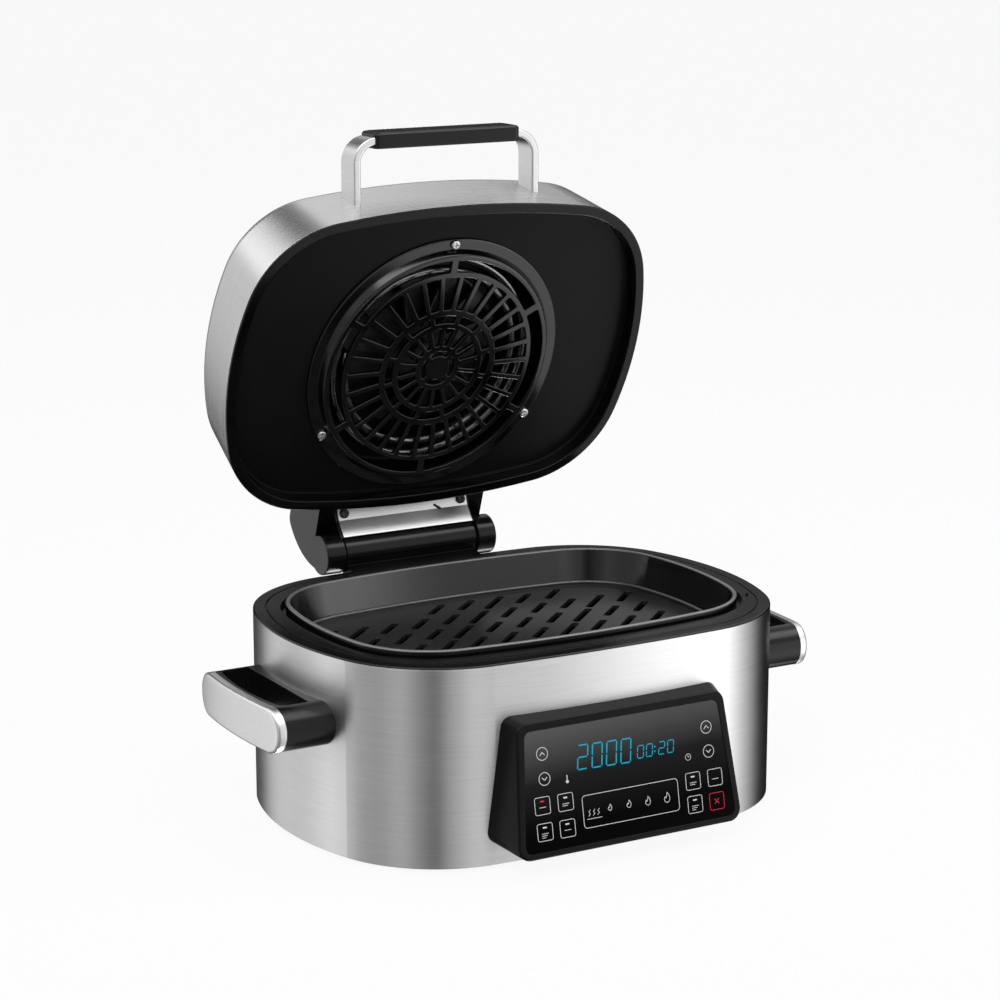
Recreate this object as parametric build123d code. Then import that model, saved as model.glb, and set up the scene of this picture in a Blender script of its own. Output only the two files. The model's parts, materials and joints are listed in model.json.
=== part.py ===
from build123d import *
import os
from math import atan, atan2, cos, degrees, hypot, pi, radians, sin, sqrt

os.makedirs("parts", exist_ok=True)

# Millimetres. X is the width, -Y the front, +Z up. The origin is on the worktop, under the body's middle.
# The lid is drawn closed and then turned about its hinge to the open rest pose.

# Body outline in plan: long arcs joined by corner arcs
body_half_width = 175.0
body_half_depth = 130.0
body_front_radius = 1350.0
body_side_radius = 209.0
body_corner_radius = 87.7
body_height = 133.0
shell_wall = 0.8
foot_height = 3.0
foot_radius = 11.0
foot_inset = 26.0
base_thickness = 1.6
base_rim_height = 9.0

# Deck ring round the pot
deck_lip = 1.4
deck_depth = 7.0
deck_side_width = 20.5
deck_front_width = 21.5
opening_front_radius = 763.5
opening_side_radius = 263.5
opening_corner_radius = 65.5
ledge_drop = 4.0
ledge_width = 6.1
groove_inset = 8.5
groove_width = 1.0
groove_depth = 1.0
post_radius = 5.0
post_inset = 10.0
slit_setback = 66.0
slit_size = (1.4, 9.0, 3.0)

# Cooking pot and grill plate
pot_gap = 3.5
pot_rim_height = 8.1
pot_rim_width = 4.0
pot_rim_round = 1.3
pot_wall = 1.8
pot_depth = 92.0
pot_draft = 5.0
plate_ledge_depth = 28.0
plate_ledge_width = 5.0
plate_thickness = 3.0
plate_rim_height = 3.0
plate_rim_width = 2.8
plate_rim_round = 1.2
plate_fit = 0.4
slot_length = 29.0
slot_extra = 8.0
slot_width = 5.4
slot_angle = 43.0
slot_row_pitch = 28.0
slot_row_start = 71.0
slot_line_pitch = 24.3
slot_line_start = 3.8
slot_group = 4
slot_group_drop = 4.0
slot_margin = 6.0
liner_gap = 1.0
liner_wall = 0.8
liner_floor_gap = 7.0
liner_flange = 6.0

# Control panel on the front
panel_tilt = 10.8
panel_height = 78.2
panel_top_half = 73.7
panel_bottom_half = 80.6
panel_stand_off = 19.5
panel_centre_height = 52.6
panel_corner = 5.0
panel_frame = 5.0
panel_flare = 0.25
panel_top_rise = 4.0
panel_bottom_rise = 5.5
panel_side_round = 8.0
glass_thickness = 2.0
glass_fit = 0.15
glass_seat = 3.0
guide_thickness = 3.0
display_board_thickness = 1.6

# Side handles
handle_half_length = 60.0
handle_reach = 32.5
handle_bulge = 4.5
handle_height = 30.0
handle_centre_height = 87.0
handle_round = 14.5
finger_half_length = 46.0
handle_bar = 4.5
handle_flange = 3.5
trim_proud = 4.0
trim_depth = 6.0
trim_round = 2.4

# Lid outline in plan, closed
lid_side_setback = 11.3
lid_front_setback = 11.2
lid_front_radius = 676.0
lid_side_radius = 232.0
lid_corner_radius = 73.3
lid_gap = 0.6
lid_height = 62.0
lid_taper = 8.3
lid_edge_round = 12.0
rim_lip = 2.0
rim_depth = 8.0
rim_width = 7.0
liner_recess = 10.0
recess_draft = 2.2
lid_liner_wall = 1.2
open_angle = 70.85

# Fan, guard and heater in the lid
fan_setback = 9.0
guard_radius = 98.5
guard_flange = 7.5
guard_flange_thickness = 2.0
guard_rise = 5.0
guard_flare = 3.0
guard_face = 3.0
guard_wall = 2.5
guard_opening = 90.0
outer_arc_inner = 75.0
outer_arc_outer = 84.5
outer_arc_count = 6
outer_slot_inner = 46.0
outer_slot_outer = 71.5
outer_slot_count = 30
middle_arc_inner = 35.5
middle_arc_outer = 41.5
middle_arc_count = 12
inner_slot_inner = 17.5
inner_slot_outer = 31.5
inner_slot_count = 18
hub_arc_inner = 9.5
hub_arc_outer = 13.5
hub_arc_count = 4
rib_width = 3.4
inner_rib_width = 2.8
slot_corner = 1.1
guard_screw_circle = 94.8
chamber_radius = 96.0
chamber_wall = 1.0
chamber_ceiling = 40.0
chamber_flange = 5.0
coil_start_radius = 66.0
coil_pitch = 10.0
coil_half_turns = 4
coil_wire_radius = 3.2
coil_depth = 17.2
coil_bend = 9.0
coil_tail = 10.0
bush_radius = 5.0
fan_radius = 60.0
fan_blade_inner = 20.0
fan_blade_count = 12
fan_blade_height = 11.0
fan_blade_thickness = 1.2
fan_disc_thickness = 1.2
fan_disc_depth = 35.0
fan_hub_radius = 9.0
fan_nut_height = 4.0
shaft_radius = 3.0
shaft_fit = 0.06
motor_radius = 27.0
motor_height = 15.0
motor_bracket_thickness = 1.2
motor_bracket_half_length = 44.0
motor_bracket_width = 26.0
probe_radius = 2.5

# Hinge behind the body
hinge_setback = 27.3
hinge_rise = 6.2
barrel_radius = 13.0
barrel_half_length = 53.0
cheek_radius = 14.5
cheek_gap = 2.0
pin_radius = 4.0
pin_fit = 0.05
cover_half_width = 68.0
cover_wall = 2.5
cover_lean = 13.2
cover_crest_drop = 3.0
cover_crest_round = 9.0
cover_wing_rise = 12.6
cover_bulge = 7.0
cover_wrap_end = -20.0
cover_clearance = 0.6
cover_vent_count = 11
cover_vent_pitch = 9.6
cover_vent_width = 3.6
cover_vent_height = 22.0
cap_thickness = 1.5
leaf_thickness = 1.2
leaf_lower_reach = 14.7
leaf_lower_drop = 2.6
leaf_bend_reach = 21.9
leaf_bend_rise = 8.4
leaf_upper_reach = 44.0
leaf_upper_rise = 24.7
leaf_screw_x = 48.0
leaf_screw_share = 0.175
leaf_slot_x = 28.0
leaf_slot_share = 0.05
hinge_base_wall = 4.5
hinge_base_height = 38.0
neck_upper_angle = 215.0
neck_lower_angle = 255.0

# Lid handle
strap_half_width = 72.8
strap_thickness = 5.4
strap_depth = 20.0
strap_reach = 39.3
strap_bend = 18.0
strap_height = 36.4
strap_edge_round = 1.2
grip_half_length = 57.0
grip_depth = 24.0
grip_below = 8.2
grip_above = 2.8
grip_corner = 4.0
grip_edge = 2.4
handle_screw_radius = 1.6

# Screws and small clearances
screw_radius = 2.0
screw_head_radius = 3.4
screw_head_height = 2.2
screw_hole_fit = 0.25
seat_fit = 0.1
gland_radius = 8.0
gland_collar = 2.5
gland_length = 7.0
cord_bore_radius = 3.6
base_screw_length = 14.0
hinge_screw_grip = 3.2
washer_radius = 9.0

# Levels that follow from the sizes above
shell_top = foot_height + body_height
deck_top = shell_top + deck_lip
deck_underside = deck_top - deck_depth
ledge_top = deck_top - ledge_drop
lid_base = deck_top + lid_gap
lid_top = lid_base + rim_lip + lid_height
hinge_y = body_half_depth + hinge_setback
hinge_z = lid_base + hinge_rise
lid_slope = lid_taper / lid_height
pot_rim_top = ledge_top + pot_rim_height
pot_floor = pot_rim_top - pot_depth
plate_ledge = pot_rim_top - plate_ledge_depth
liner_bottom = pot_floor - pot_wall - liner_floor_gap
base_top = foot_height + base_thickness

body_plan = (body_half_width, body_half_depth, body_front_radius, body_side_radius, body_corner_radius)
opening_plan = (
    body_half_width - deck_side_width,
    body_half_depth - deck_front_width,
    opening_front_radius,
    opening_side_radius,
    opening_corner_radius,
)
pot_plan = tuple(size - pot_gap for size in opening_plan)
lid_plan = (
    body_half_width - lid_side_setback,
    body_half_depth - lid_front_setback,
    lid_front_radius,
    lid_side_radius,
    lid_corner_radius,
)


# Plan outlines and the blocks raised from them
def corner_geometry(plan):
    half_x, half_y, front_r, side_r, corner_r = plan
    side_centre = half_x - side_r
    front_centre = half_y - front_r
    span = hypot(side_centre, front_centre)
    to_front = front_r - corner_r
    to_side = side_r - corner_r
    along = (to_front**2 - to_side**2 + span**2) / (2 * span)
    across = sqrt(to_front**2 - along**2)
    unit_x = side_centre / span
    unit_y = -front_centre / span
    centre_x = along * unit_x + across * unit_y
    centre_y = front_centre + along * unit_y - across * unit_x
    return side_centre, front_centre, centre_x, centre_y


def oval_face(plan, inset=0.0):
    sizes = tuple(size - inset for size in plan)
    front_r, side_r, corner_r = sizes[2:]
    side_centre, front_centre, cx, cy = corner_geometry(sizes)
    upper = degrees(atan2(cy - front_centre, cx))
    lower = degrees(atan2(cy, cx - side_centre))
    sweep = upper - lower
    edges = [
        CenterArc((side_centre, 0), side_r, -lower, 2 * lower),
        CenterArc((cx, cy), corner_r, lower, sweep),
        CenterArc((0, front_centre), front_r, upper, 180 - 2 * upper),
        CenterArc((-cx, cy), corner_r, 180 - upper, sweep),
        CenterArc((-side_centre, 0), side_r, 180 - lower, 2 * lower),
        CenterArc((-cx, -cy), corner_r, 180 + lower, sweep),
        CenterArc((0, -front_centre), front_r, 180 + upper, 180 - 2 * upper),
        CenterArc((cx, -cy), corner_r, 360 - upper, sweep),
    ]
    return Face(Wire(edges))


def oval_block(plan, low, high, inset=0.0, draft=0.0):
    # draft is how much further in the outline stands at the top
    face = Pos(0, 0, low) * oval_face(plan, inset)
    taper = degrees(atan(draft / (high - low)))
    return extrude(face, amount=high - low, dir=(0, 0, 1), taper=taper)


def oval_ring(plan, low, high, outer_inset, inner_inset):
    return oval_block(plan, low, high, outer_inset) - oval_block(plan, low, high, inner_inset)


def corner_spots(plan, inset, angle=45.0):
    # the four points that lie this far inside the outline, on its corner arcs
    cx, cy = corner_geometry(plan)[2:]
    reach = plan[4] - inset
    x = cx + reach * cos(radians(angle))
    y = cy + reach * sin(radians(angle))
    return [(sx * x, sy * y) for sx in (-1, 1) for sy in (-1, 1)]


def box_between(low, high):
    size = [b - a for a, b in zip(low, high)]
    middle = [(a + b) / 2 for a, b in zip(low, high)]
    return Pos(*middle) * Box(*size)


def rod(radius, start, end):
    # a straight round bar between two points
    start, end = Vector(*start), Vector(*end)
    plane = Plane(origin=start, z_dir=end - start)
    return extrude(plane * Circle(radius), amount=(end - start).length)


def tube(outer, inner, start, end):
    return rod(outer, start, end) - rod(inner, start, end)


def side_profile(points, half_width):
    # an outline drawn in Y and Z, raised to both sides of the middle
    face = Face(Wire(Polyline(*[(0, y, z) for y, z in points], close=True).edges()))
    return extrude(face, amount=half_width, dir=(1, 0, 0), both=True)


def screw(point, direction, length, radius=screw_radius):
    # round cross-head screw whose head bears at the point and whose shank runs along the direction
    plane = Plane(origin=point, z_dir=direction)
    shank = extrude(plane * Circle(radius), amount=length)
    head = extrude(plane * Circle(screw_head_radius), amount=-screw_head_height)
    top = head.faces().sort_by(Axis(point, direction))[0]
    head = fillet(top.edges(), screw_head_height * 0.45)
    body = shank + head
    for turn in (0, 90):
        blade = Box(screw_head_radius * 1.3, screw_head_radius * 0.28, screw_head_height)
        body -= plane.location * Pos(0, 0, -screw_head_height) * Rot(0, 0, turn) * blade
    return body


def open_lid(shape):
    return shape.rotate(Axis((0, hinge_y, hinge_z), (1, 0, 0)), -open_angle)


def save(name, *shapes):
    solids = [solid for shape in shapes for solid in shape.solids()]
    export_step(Compound(children=solids), f"parts/{name}.step")


def save_lid(name, *shapes):
    save(name, *[open_lid(solid) for shape in shapes for solid in shape.solids()])


# Body shell, base plate and feet
def rear_wall_y(x, plan=body_plan):
    front_r = plan[2]
    return plan[1] - front_r + sqrt(front_r**2 - x**2)


def side_wall_x(y):
    return body_half_width - body_side_radius + sqrt(body_side_radius**2 - y**2)


handle_z = foot_height + handle_centre_height
handle_screw_y = (handle_half_length + finger_half_length) / 2
gland_x = body_half_width * 0.45
gland_z = foot_height + 24.0
hinge_screw_x = barrel_half_length - 13.0
hinge_screw_z = deck_underside - 17.0
hinge_screw_spots = [(side * hinge_screw_x, hinge_screw_z + rise) for side in (-1, 1) for rise in (-9.0, 9.0)]

outer_shell = oval_block(body_plan, foot_height, shell_top)
outer_shell -= oval_block(body_plan, foot_height, shell_top, shell_wall)
for side in (-1, 1):
    for y in (-handle_screw_y, handle_screw_y):
        start = (side * (side_wall_x(y) - 9.0), y, handle_z)
        end = (side * (side_wall_x(y) + 9.0), y, handle_z)
        outer_shell -= rod(screw_radius + screw_hole_fit, start, end)
for x, z in hinge_screw_spots:
    start = (x, rear_wall_y(x) - 6.0, z)
    end = (x, rear_wall_y(x) + 6.0, z)
    outer_shell -= rod(screw_radius + screw_hole_fit, start, end)
gland_y = rear_wall_y(gland_x)
outer_shell -= rod(gland_radius, (gland_x, gland_y - 12.0, gland_z), (gland_x, gland_y + 12.0, gland_z))
harness_half_width = panel_top_half * 0.6
harness_z = foot_height + panel_centre_height
outer_shell -= box_between(
    (-harness_half_width, -body_half_depth - 5.0, harness_z - 12.0),
    (harness_half_width, -body_half_depth + 5.0, harness_z + 12.0),
)
save("outer_shell", outer_shell)

base_inset = shell_wall + seat_fit
base_plate = oval_block(body_plan, foot_height, base_top, base_inset)
base_plate += oval_ring(body_plan, foot_height, foot_height + base_rim_height, base_inset, base_inset + base_thickness)
post_spots = corner_spots(body_plan, post_inset)
for x, y in post_spots:
    base_plate -= rod(screw_radius + screw_hole_fit, (x, y, foot_height - 1.0), (x, y, base_top + 1.0))
for row in range(-2, 3):
    for column in range(-4, 5):
        slot = extrude(Pos(column * 16.0, row * 13.0, foot_height) * SlotOverall(12.0, 3.0), amount=base_thickness)
        base_plate -= slot
save("base_plate", base_plate)

foot_spots = corner_spots(body_plan, foot_inset)
feet = [rod(foot_radius, (x, y, 0), (x, y, foot_height)) for x, y in foot_spots]
feet = [fillet(foot.edges().sort_by(Axis.Z)[0], 0.8) for foot in feet]
save("rubber_feet", *feet)
base_screws = [screw((x, y, foot_height), (0, 0, 1), base_screw_length) for x, y in post_spots]
save("base_screws", *base_screws)

# Deck ring with its ledge, groove, rear slit and posts
deck_ring = oval_block(body_plan, shell_top, deck_top)
deck_ring = fillet(deck_ring.faces().sort_by(Axis.Z)[-1].edges(), deck_lip * 0.8)
deck_ring += oval_block(body_plan, deck_underside, shell_top, shell_wall + seat_fit)
deck_ring -= oval_block(opening_plan, ledge_top, deck_top)
deck_ring -= oval_block(opening_plan, deck_underside, ledge_top, ledge_width)
deck_ring -= oval_ring(body_plan, deck_top - groove_depth, deck_top, groove_inset, groove_inset + groove_width)
for x, y in post_spots:
    post = tube(post_radius, screw_radius, (x, y, base_top), (x, y, deck_underside + 1.0))
    deck_ring += post
slit = Pos(body_half_width - deck_side_width - 5.0, -slit_setback, deck_top) * Rot(0, 0, -38) * Box(*slit_size)
deck_ring -= slit
save("deck_ring", deck_ring)

# Inner liner that hangs under the deck ring
liner_inset = -liner_gap
inner_liner = oval_block(pot_plan, liner_bottom, deck_underside, liner_inset - liner_wall)
inner_liner -= oval_block(pot_plan, liner_bottom + liner_wall, deck_underside, liner_inset)
inner_liner += oval_ring(
    pot_plan, deck_underside - liner_wall, deck_underside, liner_inset - liner_flange, liner_inset - liner_wall / 2
)
save("inner_liner", inner_liner)

# Cooking pot: a rolled rim, a drafted wall and a step that carries the grill plate
wall_inset = pot_rim_width - pot_wall / 2 + 0.1
upper_height = ledge_top - plate_ledge
lower_height = plate_ledge - pot_floor
step_inset = wall_inset + pot_draft + plate_ledge_width


def pot_upper(low, high, grow):
    return oval_block(pot_plan, low, high, wall_inset + pot_draft + grow, -pot_draft)


rim_flare = pot_draft * pot_rim_height / upper_height
pot_rim = oval_block(pot_plan, ledge_top, pot_rim_top)
pot_rim -= oval_block(pot_plan, ledge_top, pot_rim_top, wall_inset + pot_wall, -rim_flare)
pot_rim = fillet(pot_rim.faces().sort_by(Axis.Z)[-1].edges(), pot_rim_round)
cooking_pot = pot_upper(plate_ledge - pot_wall, ledge_top, 0)
cooking_pot += oval_block(
    pot_plan, pot_floor - pot_wall, plate_ledge - pot_wall, step_inset + pot_draft, -pot_draft
)
cooking_pot += pot_rim
cooking_pot -= pot_upper(plate_ledge, ledge_top, pot_wall)
cooking_pot -= oval_block(pot_plan, ledge_top, pot_rim_top, wall_inset + pot_wall, -rim_flare)
cooking_pot -= oval_block(pot_plan, pot_floor, plate_ledge, step_inset + pot_draft + pot_wall, -pot_draft)
save("cooking_pot", cooking_pot)

# Grill plate with slanted slots in a brick pattern and a raised edge
plate_inset = wall_inset + pot_draft + pot_wall + plate_fit
grill_plate = oval_block(pot_plan, plate_ledge, plate_ledge + plate_thickness, plate_inset)
plate_rim = oval_ring(
    pot_plan, plate_ledge, plate_ledge + plate_thickness + plate_rim_height, plate_inset, plate_inset + plate_rim_width
)
grill_plate += fillet(plate_rim.faces().sort_by(Axis.Z)[-1].edges(), plate_rim_round)
slot_field = oval_face(pot_plan, plate_inset + plate_rim_width + slot_margin + slot_length / 3)
slots = []
for row in range(6):
    for line in range(-12, 12):
        group = (line - 2) // slot_group + 1
        longer = (line - 2) % slot_group == 0
        y = slot_row_start - row * slot_row_pitch - group * slot_group_drop
        x = y + slot_line_start + line * slot_line_pitch
        length = slot_length + slot_extra if longer else slot_length
        if slot_field.is_inside(Vector(x, y, 0)):
            slots.append(Pos(x, y, plate_ledge) * Rot(0, 0, slot_angle) * SlotOverall(length, slot_width))
grill_plate -= [extrude(slot, amount=plate_thickness) for slot in slots]
save("grill_plate", grill_plate)


# Control panel: a flared housing, the glass, a light guide and the display board
panel_y = -(body_half_depth + panel_stand_off)
panel_z = foot_height + panel_centre_height
tilt_cos = cos(radians(panel_tilt))
tilt_sin = sin(radians(panel_tilt))
panel_plane = Plane(origin=(0, panel_y, panel_z), x_dir=(1, 0, 0), z_dir=(0, -tilt_cos, tilt_sin))
frame_low_y = panel_y - (panel_height / 2 + panel_frame) * tilt_sin
frame_high_y = panel_y + (panel_height / 2 + panel_frame) * tilt_sin
frame_low_z = panel_z - (panel_height / 2 + panel_frame) * tilt_cos
frame_high_z = panel_z + (panel_height / 2 + panel_frame) * tilt_cos


def trapezoid(grow, corner):
    half = panel_height / 2 + grow
    shape = Polygon(
        (-panel_bottom_half - grow, -half),
        (panel_bottom_half + grow, -half),
        (panel_top_half + grow, half),
        (-panel_top_half - grow, half),
        align=None,
    )
    return fillet(shape.vertices(), corner)


# The housing's sides spread towards the body, and its top and bottom lean apart
spread_y = frame_low_y - 2.0
low_half = panel_bottom_half + panel_frame - panel_flare * (frame_low_y - spread_y)
high_half = panel_top_half + panel_frame - panel_flare * (frame_high_y - spread_y)
lean = (low_half - high_half) / (frame_high_z - frame_low_z)
spare = 20.0
spread_plane = Plane(origin=(0, spread_y, 0), x_dir=(-1, 0, 0), z_dir=(0, 1, 0))
spread_face = spread_plane * Polygon(
    (-low_half - lean * spare, frame_low_z - spare),
    (low_half + lean * spare, frame_low_z - spare),
    (high_half - lean * spare, frame_high_z + spare),
    (-high_half + lean * spare, frame_high_z + spare),
    align=None,
)
housing_back = -body_half_depth + 8.0
control_housing = extrude(spread_face, amount=housing_back - spread_y, taper=-degrees(atan(panel_flare)))
side_lines = [
    (frame_low_y, frame_low_z),
    (frame_high_y, frame_high_z),
    (housing_back, frame_high_z + panel_top_rise),
    (housing_back, frame_low_z + panel_bottom_rise),
]
control_housing &= side_profile(side_lines, body_half_width)
facing = Axis((0, 0, 0), (0, -tilt_cos, tilt_sin))
front_edges = control_housing.faces().sort_by(facing)[-1].edges()
rear_edges = control_housing.faces().sort_by(Axis.Y)[-1].edges()
rim_middles = [edge.center() for edge in list(front_edges) + list(rear_edges)]
depth_edges = control_housing.edges().filter_by(
    lambda edge: all((edge.center() - middle).length > 0.5 for middle in rim_middles)
)
control_housing = fillet(depth_edges, panel_side_round)
front_face = control_housing.faces().sort_by(facing)[-1]
control_housing = fillet(front_face.edges(), 1.6)
control_housing -= extrude(panel_plane * trapezoid(glass_fit, panel_corner), amount=-glass_thickness)
window = trapezoid(-glass_seat, panel_corner - 1.0)
window_depth = glass_thickness + guide_thickness + display_board_thickness + 5.0
control_housing -= extrude(panel_plane * window, amount=-window_depth)
hollow_half = panel_top_half - 2 * glass_seat
control_housing -= box_between(
    (-hollow_half, panel_y + panel_height / 2 * tilt_sin, frame_low_z + panel_bottom_rise + 2.0),
    (hollow_half, housing_back, frame_high_z - panel_frame - glass_seat),
)
control_housing -= oval_block(body_plan, 0, shell_top)
save("control_housing", control_housing)
glass_plane = panel_plane.offset(-glass_thickness)
save("control_glass", extrude(glass_plane * trapezoid(0, panel_corner - glass_fit), amount=glass_thickness - 0.3))
guide_shape = trapezoid(-glass_seat - 1.0, panel_corner - 1.0)
save("light_guide", extrude(glass_plane * guide_shape, amount=-guide_thickness))
board_plane = glass_plane.offset(-guide_thickness)
save("display_board", extrude(board_plane * guide_shape, amount=-display_board_thickness))

# Power board on standoffs, with its larger components
board_half_x = 62.0
board_half_y = 34.0
relay_size = (19.0, 15.0, 15.0)
transformer_size = (26.0, 22.0, 17.0)
terminal_size = (20.0, 10.0, 10.0)
capacitor_radius = 6.0
capacitor_height = 16.0
board_low = base_top + 6.0
board_thickness = 1.6
board_high = board_low + board_thickness
board_y = 48.0
standoff_spots = [(sx * (board_half_x - 6.0), board_y + sy * (board_half_y - 6.0)) for sx in (-1, 1) for sy in (-1, 1)]
save(
    "power_board",
    box_between((-board_half_x, board_y - board_half_y, board_low), (board_half_x, board_y + board_half_y, board_high)),
)
save("board_standoffs", *[rod(3.0, (x, y, base_top), (x, y, board_low)) for x, y in standoff_spots])
relay = Pos(-board_half_x * 0.58, board_y, board_high + relay_size[2] / 2) * Box(*relay_size)
transformer = Pos(board_half_x * 0.2, board_y + 4.0, board_high + transformer_size[2] / 2) * Box(*transformer_size)
terminals = Pos(board_half_x * 0.74, board_y - 16.0, board_high + terminal_size[2] / 2) * Box(*terminal_size)
capacitor_x = -board_half_x * 0.2
capacitor_y = board_y - board_half_y * 0.3
capacitor_top = board_high + capacitor_height
capacitor = rod(capacitor_radius, (capacitor_x, capacitor_y, board_high), (capacitor_x, capacitor_y, capacitor_top))
capacitor = fillet(capacitor.edges().sort_by(Axis.Z)[-1], 0.6)
save("power_components", fillet(relay.edges(), 0.8), fillet(transformer.edges(), 0.8), capacitor, terminals)

# Cord gland in the rear wall, with a collar on each side that follows the wall
def gland_rod(radius, start, end):
    return rod(radius, (gland_x, gland_y + start, gland_z), (gland_x, gland_y + end, gland_z))


gland = gland_rod(gland_radius, -gland_length + 1.0, gland_length)
outer_collar = gland_rod(gland_radius + gland_collar, -gland_collar, 3.0)
gland += outer_collar - oval_block(body_plan, foot_height, shell_top, -0.02)
inner_collar = gland_rod(gland_radius + gland_collar - 0.5, -shell_wall - gland_collar, gland_collar)
gland += inner_collar & oval_block(body_plan, foot_height, shell_top, shell_wall + 0.02)
gland -= gland_rod(cord_bore_radius, -gland_length, gland_length)
save("cord_gland", gland)


# Side handles: a closed loop with a finger gap, and a satin trim on its outer face
def bowed_outline(reach, bow, half_length, corner, inner_x):
    # plan outline from inner_x out to a bowed outer edge
    end_x = reach - bow
    outline = [
        Line((inner_x, -half_length), (end_x, -half_length)),
        ThreePointArc((end_x, -half_length), (reach, 0), (end_x, half_length)),
        Line((end_x, half_length), (inner_x, half_length)),
        Line((inner_x, half_length), (inner_x, -half_length)),
    ]
    shape = Sketch() + Face(Wire(outline))
    outer = shape.vertices().sort_by(Axis.X)[-2:]
    return fillet(outer, corner) if corner else shape


def handle_section(half_length, height, corner):
    shape = fillet(Rectangle(2 * half_length, height).vertices(), corner)
    plane = Plane(origin=(0, 0, handle_z), x_dir=(0, 1, 0), z_dir=(1, 0, 0))
    return extrude(plane * shape, amount=body_half_width + 2 * handle_reach)


handle_low = handle_z - handle_height / 2
handle_high = handle_z + handle_height / 2
outer_x = body_half_width + handle_reach
inner_x = body_half_width - 12.0
flange_x = body_half_width + handle_flange
trim_seat_x = outer_x + trim_proud - trim_depth
plan_half = handle_half_length + 2.0
plan_bulge = handle_bulge * (plan_half / handle_half_length) ** 2


def handle_block(shape):
    return extrude(Pos(0, 0, handle_low - 1.0) * shape, amount=handle_height + 2.0)


handle_core = handle_block(bowed_outline(trim_seat_x, plan_bulge, plan_half, 0.0, inner_x))
handle = handle_core & handle_section(handle_half_length, handle_height, handle_round)
finger_plan = bowed_outline(outer_x - handle_bar, handle_bulge, finger_half_length, 4.0, flange_x)
finger_gap = handle_block(finger_plan)
handle -= finger_gap
handle -= oval_block(body_plan, foot_height, shell_top)
trim = handle_block(bowed_outline(outer_x + trim_proud, plan_bulge, plan_half, 0.0, inner_x))
trim &= handle_section(handle_half_length, handle_height, handle_round)
outer_face = trim.faces().filter_by(GeomType.CYLINDER).sort_by(lambda face: face.center().X)[-1]
trim = fillet(outer_face.edges(), trim_round)
trim -= handle_core
trim = trim.solids().sort_by(Axis.X)[-1]
for name, mirrored in (("right", False), ("left", True)):
    pieces = {f"{name}_handle": handle, f"{name}_handle_trim": trim}
    for piece_name, piece in pieces.items():
        save(piece_name, mirror(piece, about=Plane.YZ) if mirrored else piece)
handle_screws = []
for side in (-1, 1):
    for y in (-handle_screw_y, handle_screw_y):
        seat_x = side_wall_x(y) - shell_wall - 1.6
        handle_screws.append(screw((side * seat_x, y, handle_z), (side, 0, 0), 1.4))
save("handle_screws", *handle_screws)

# Lid rim, steel shell and the recessed liner, drawn closed
rim_top = lid_base + rim_depth
recess_floor = lid_base + liner_recess
liner_start = rim_width + recess_draft * rim_depth / liner_recess


def lid_inset(z):
    return max(0.0, z - lid_base - rim_lip) * lid_slope


def lid_block(low, high, inset):
    # a block whose sides keep the lid's draft, this far inside its outer face
    return oval_block(lid_plan, low, high, inset + lid_inset(low), lid_slope * (high - low))


def lid_wall_y(x, z):
    front_r = lid_plan[2]
    return front_r - lid_plan[1] - sqrt((front_r - lid_inset(z)) ** 2 - x**2)


lid_outer = lid_block(lid_base + rim_lip, lid_top, 0.0)
lid_outer = fillet(lid_outer.faces().sort_by(Axis.Z)[-1].edges(), lid_edge_round)
lid_cavity = lid_block(lid_base + rim_lip, lid_top - shell_wall, shell_wall)
lid_cavity = fillet(lid_cavity.faces().sort_by(Axis.Z)[-1].edges(), lid_edge_round - shell_wall)
lid_shell = lid_outer - lid_cavity

# The strap legs stand upright in the open pose, so their screws follow the lid wall there
turn = radians(open_angle)
strap_foot_z = lid_base + rim_lip + strap_height
strap_foot_y = lid_wall_y(0, strap_foot_z)
leg_x = strap_half_width - strap_thickness / 2
reach = 0.0
for attempt in range(6):
    reach = (strap_foot_y - lid_wall_y(leg_x, strap_foot_z + reach * cos(turn))) / sin(turn)
leg_point = Vector(leg_x, strap_foot_y - reach * sin(turn), strap_foot_z + reach * cos(turn))
wall_tilt = atan(lid_slope)
wall_turn = leg_x / (lid_front_radius - lid_inset(leg_point.Z))
handle_screws = []
handle_screw_bores = []
for side in (-1, 1):
    foot = Vector(side * leg_point.X, leg_point.Y, leg_point.Z)
    normal = Vector(side * wall_turn * cos(wall_tilt), -sqrt(1 - wall_turn**2) * cos(wall_tilt), sin(wall_tilt))
    seat = foot - normal * (shell_wall + seat_fit)
    handle_screws.append(screw(tuple(seat), tuple(normal), shell_wall + seat_fit + 4.5, handle_screw_radius))
    handle_screw_bores.append(rod(handle_screw_radius, tuple(seat), tuple(foot + normal * 4.5)))
    lid_shell -= rod(handle_screw_radius + screw_hole_fit, tuple(foot - normal * 3.0), tuple(foot + normal * 3.0))
save_lid("lid_shell", lid_shell)
save_lid("lid_handle_screws", *handle_screws)

lid_rim = oval_block(lid_plan, lid_base, lid_base + rim_lip)
lid_rim += lid_block(lid_base + rim_lip, rim_top, shell_wall + seat_fit)
lid_rim -= oval_block(lid_plan, lid_base, rim_top, rim_width, liner_start - rim_width)
lid_rim = fillet(lid_rim.edges().group_by(Axis.Z)[0], 0.6)
save_lid("lid_rim", lid_rim)


# Parts round the fan axis
def disc(radius, low, high, x=0.0, y=0.0):
    return rod(radius, (x, fan_setback + y, low), (x, fan_setback + y, high))


def around(radius, degree):
    return radius * cos(radians(degree)), radius * sin(radians(degree))


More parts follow.
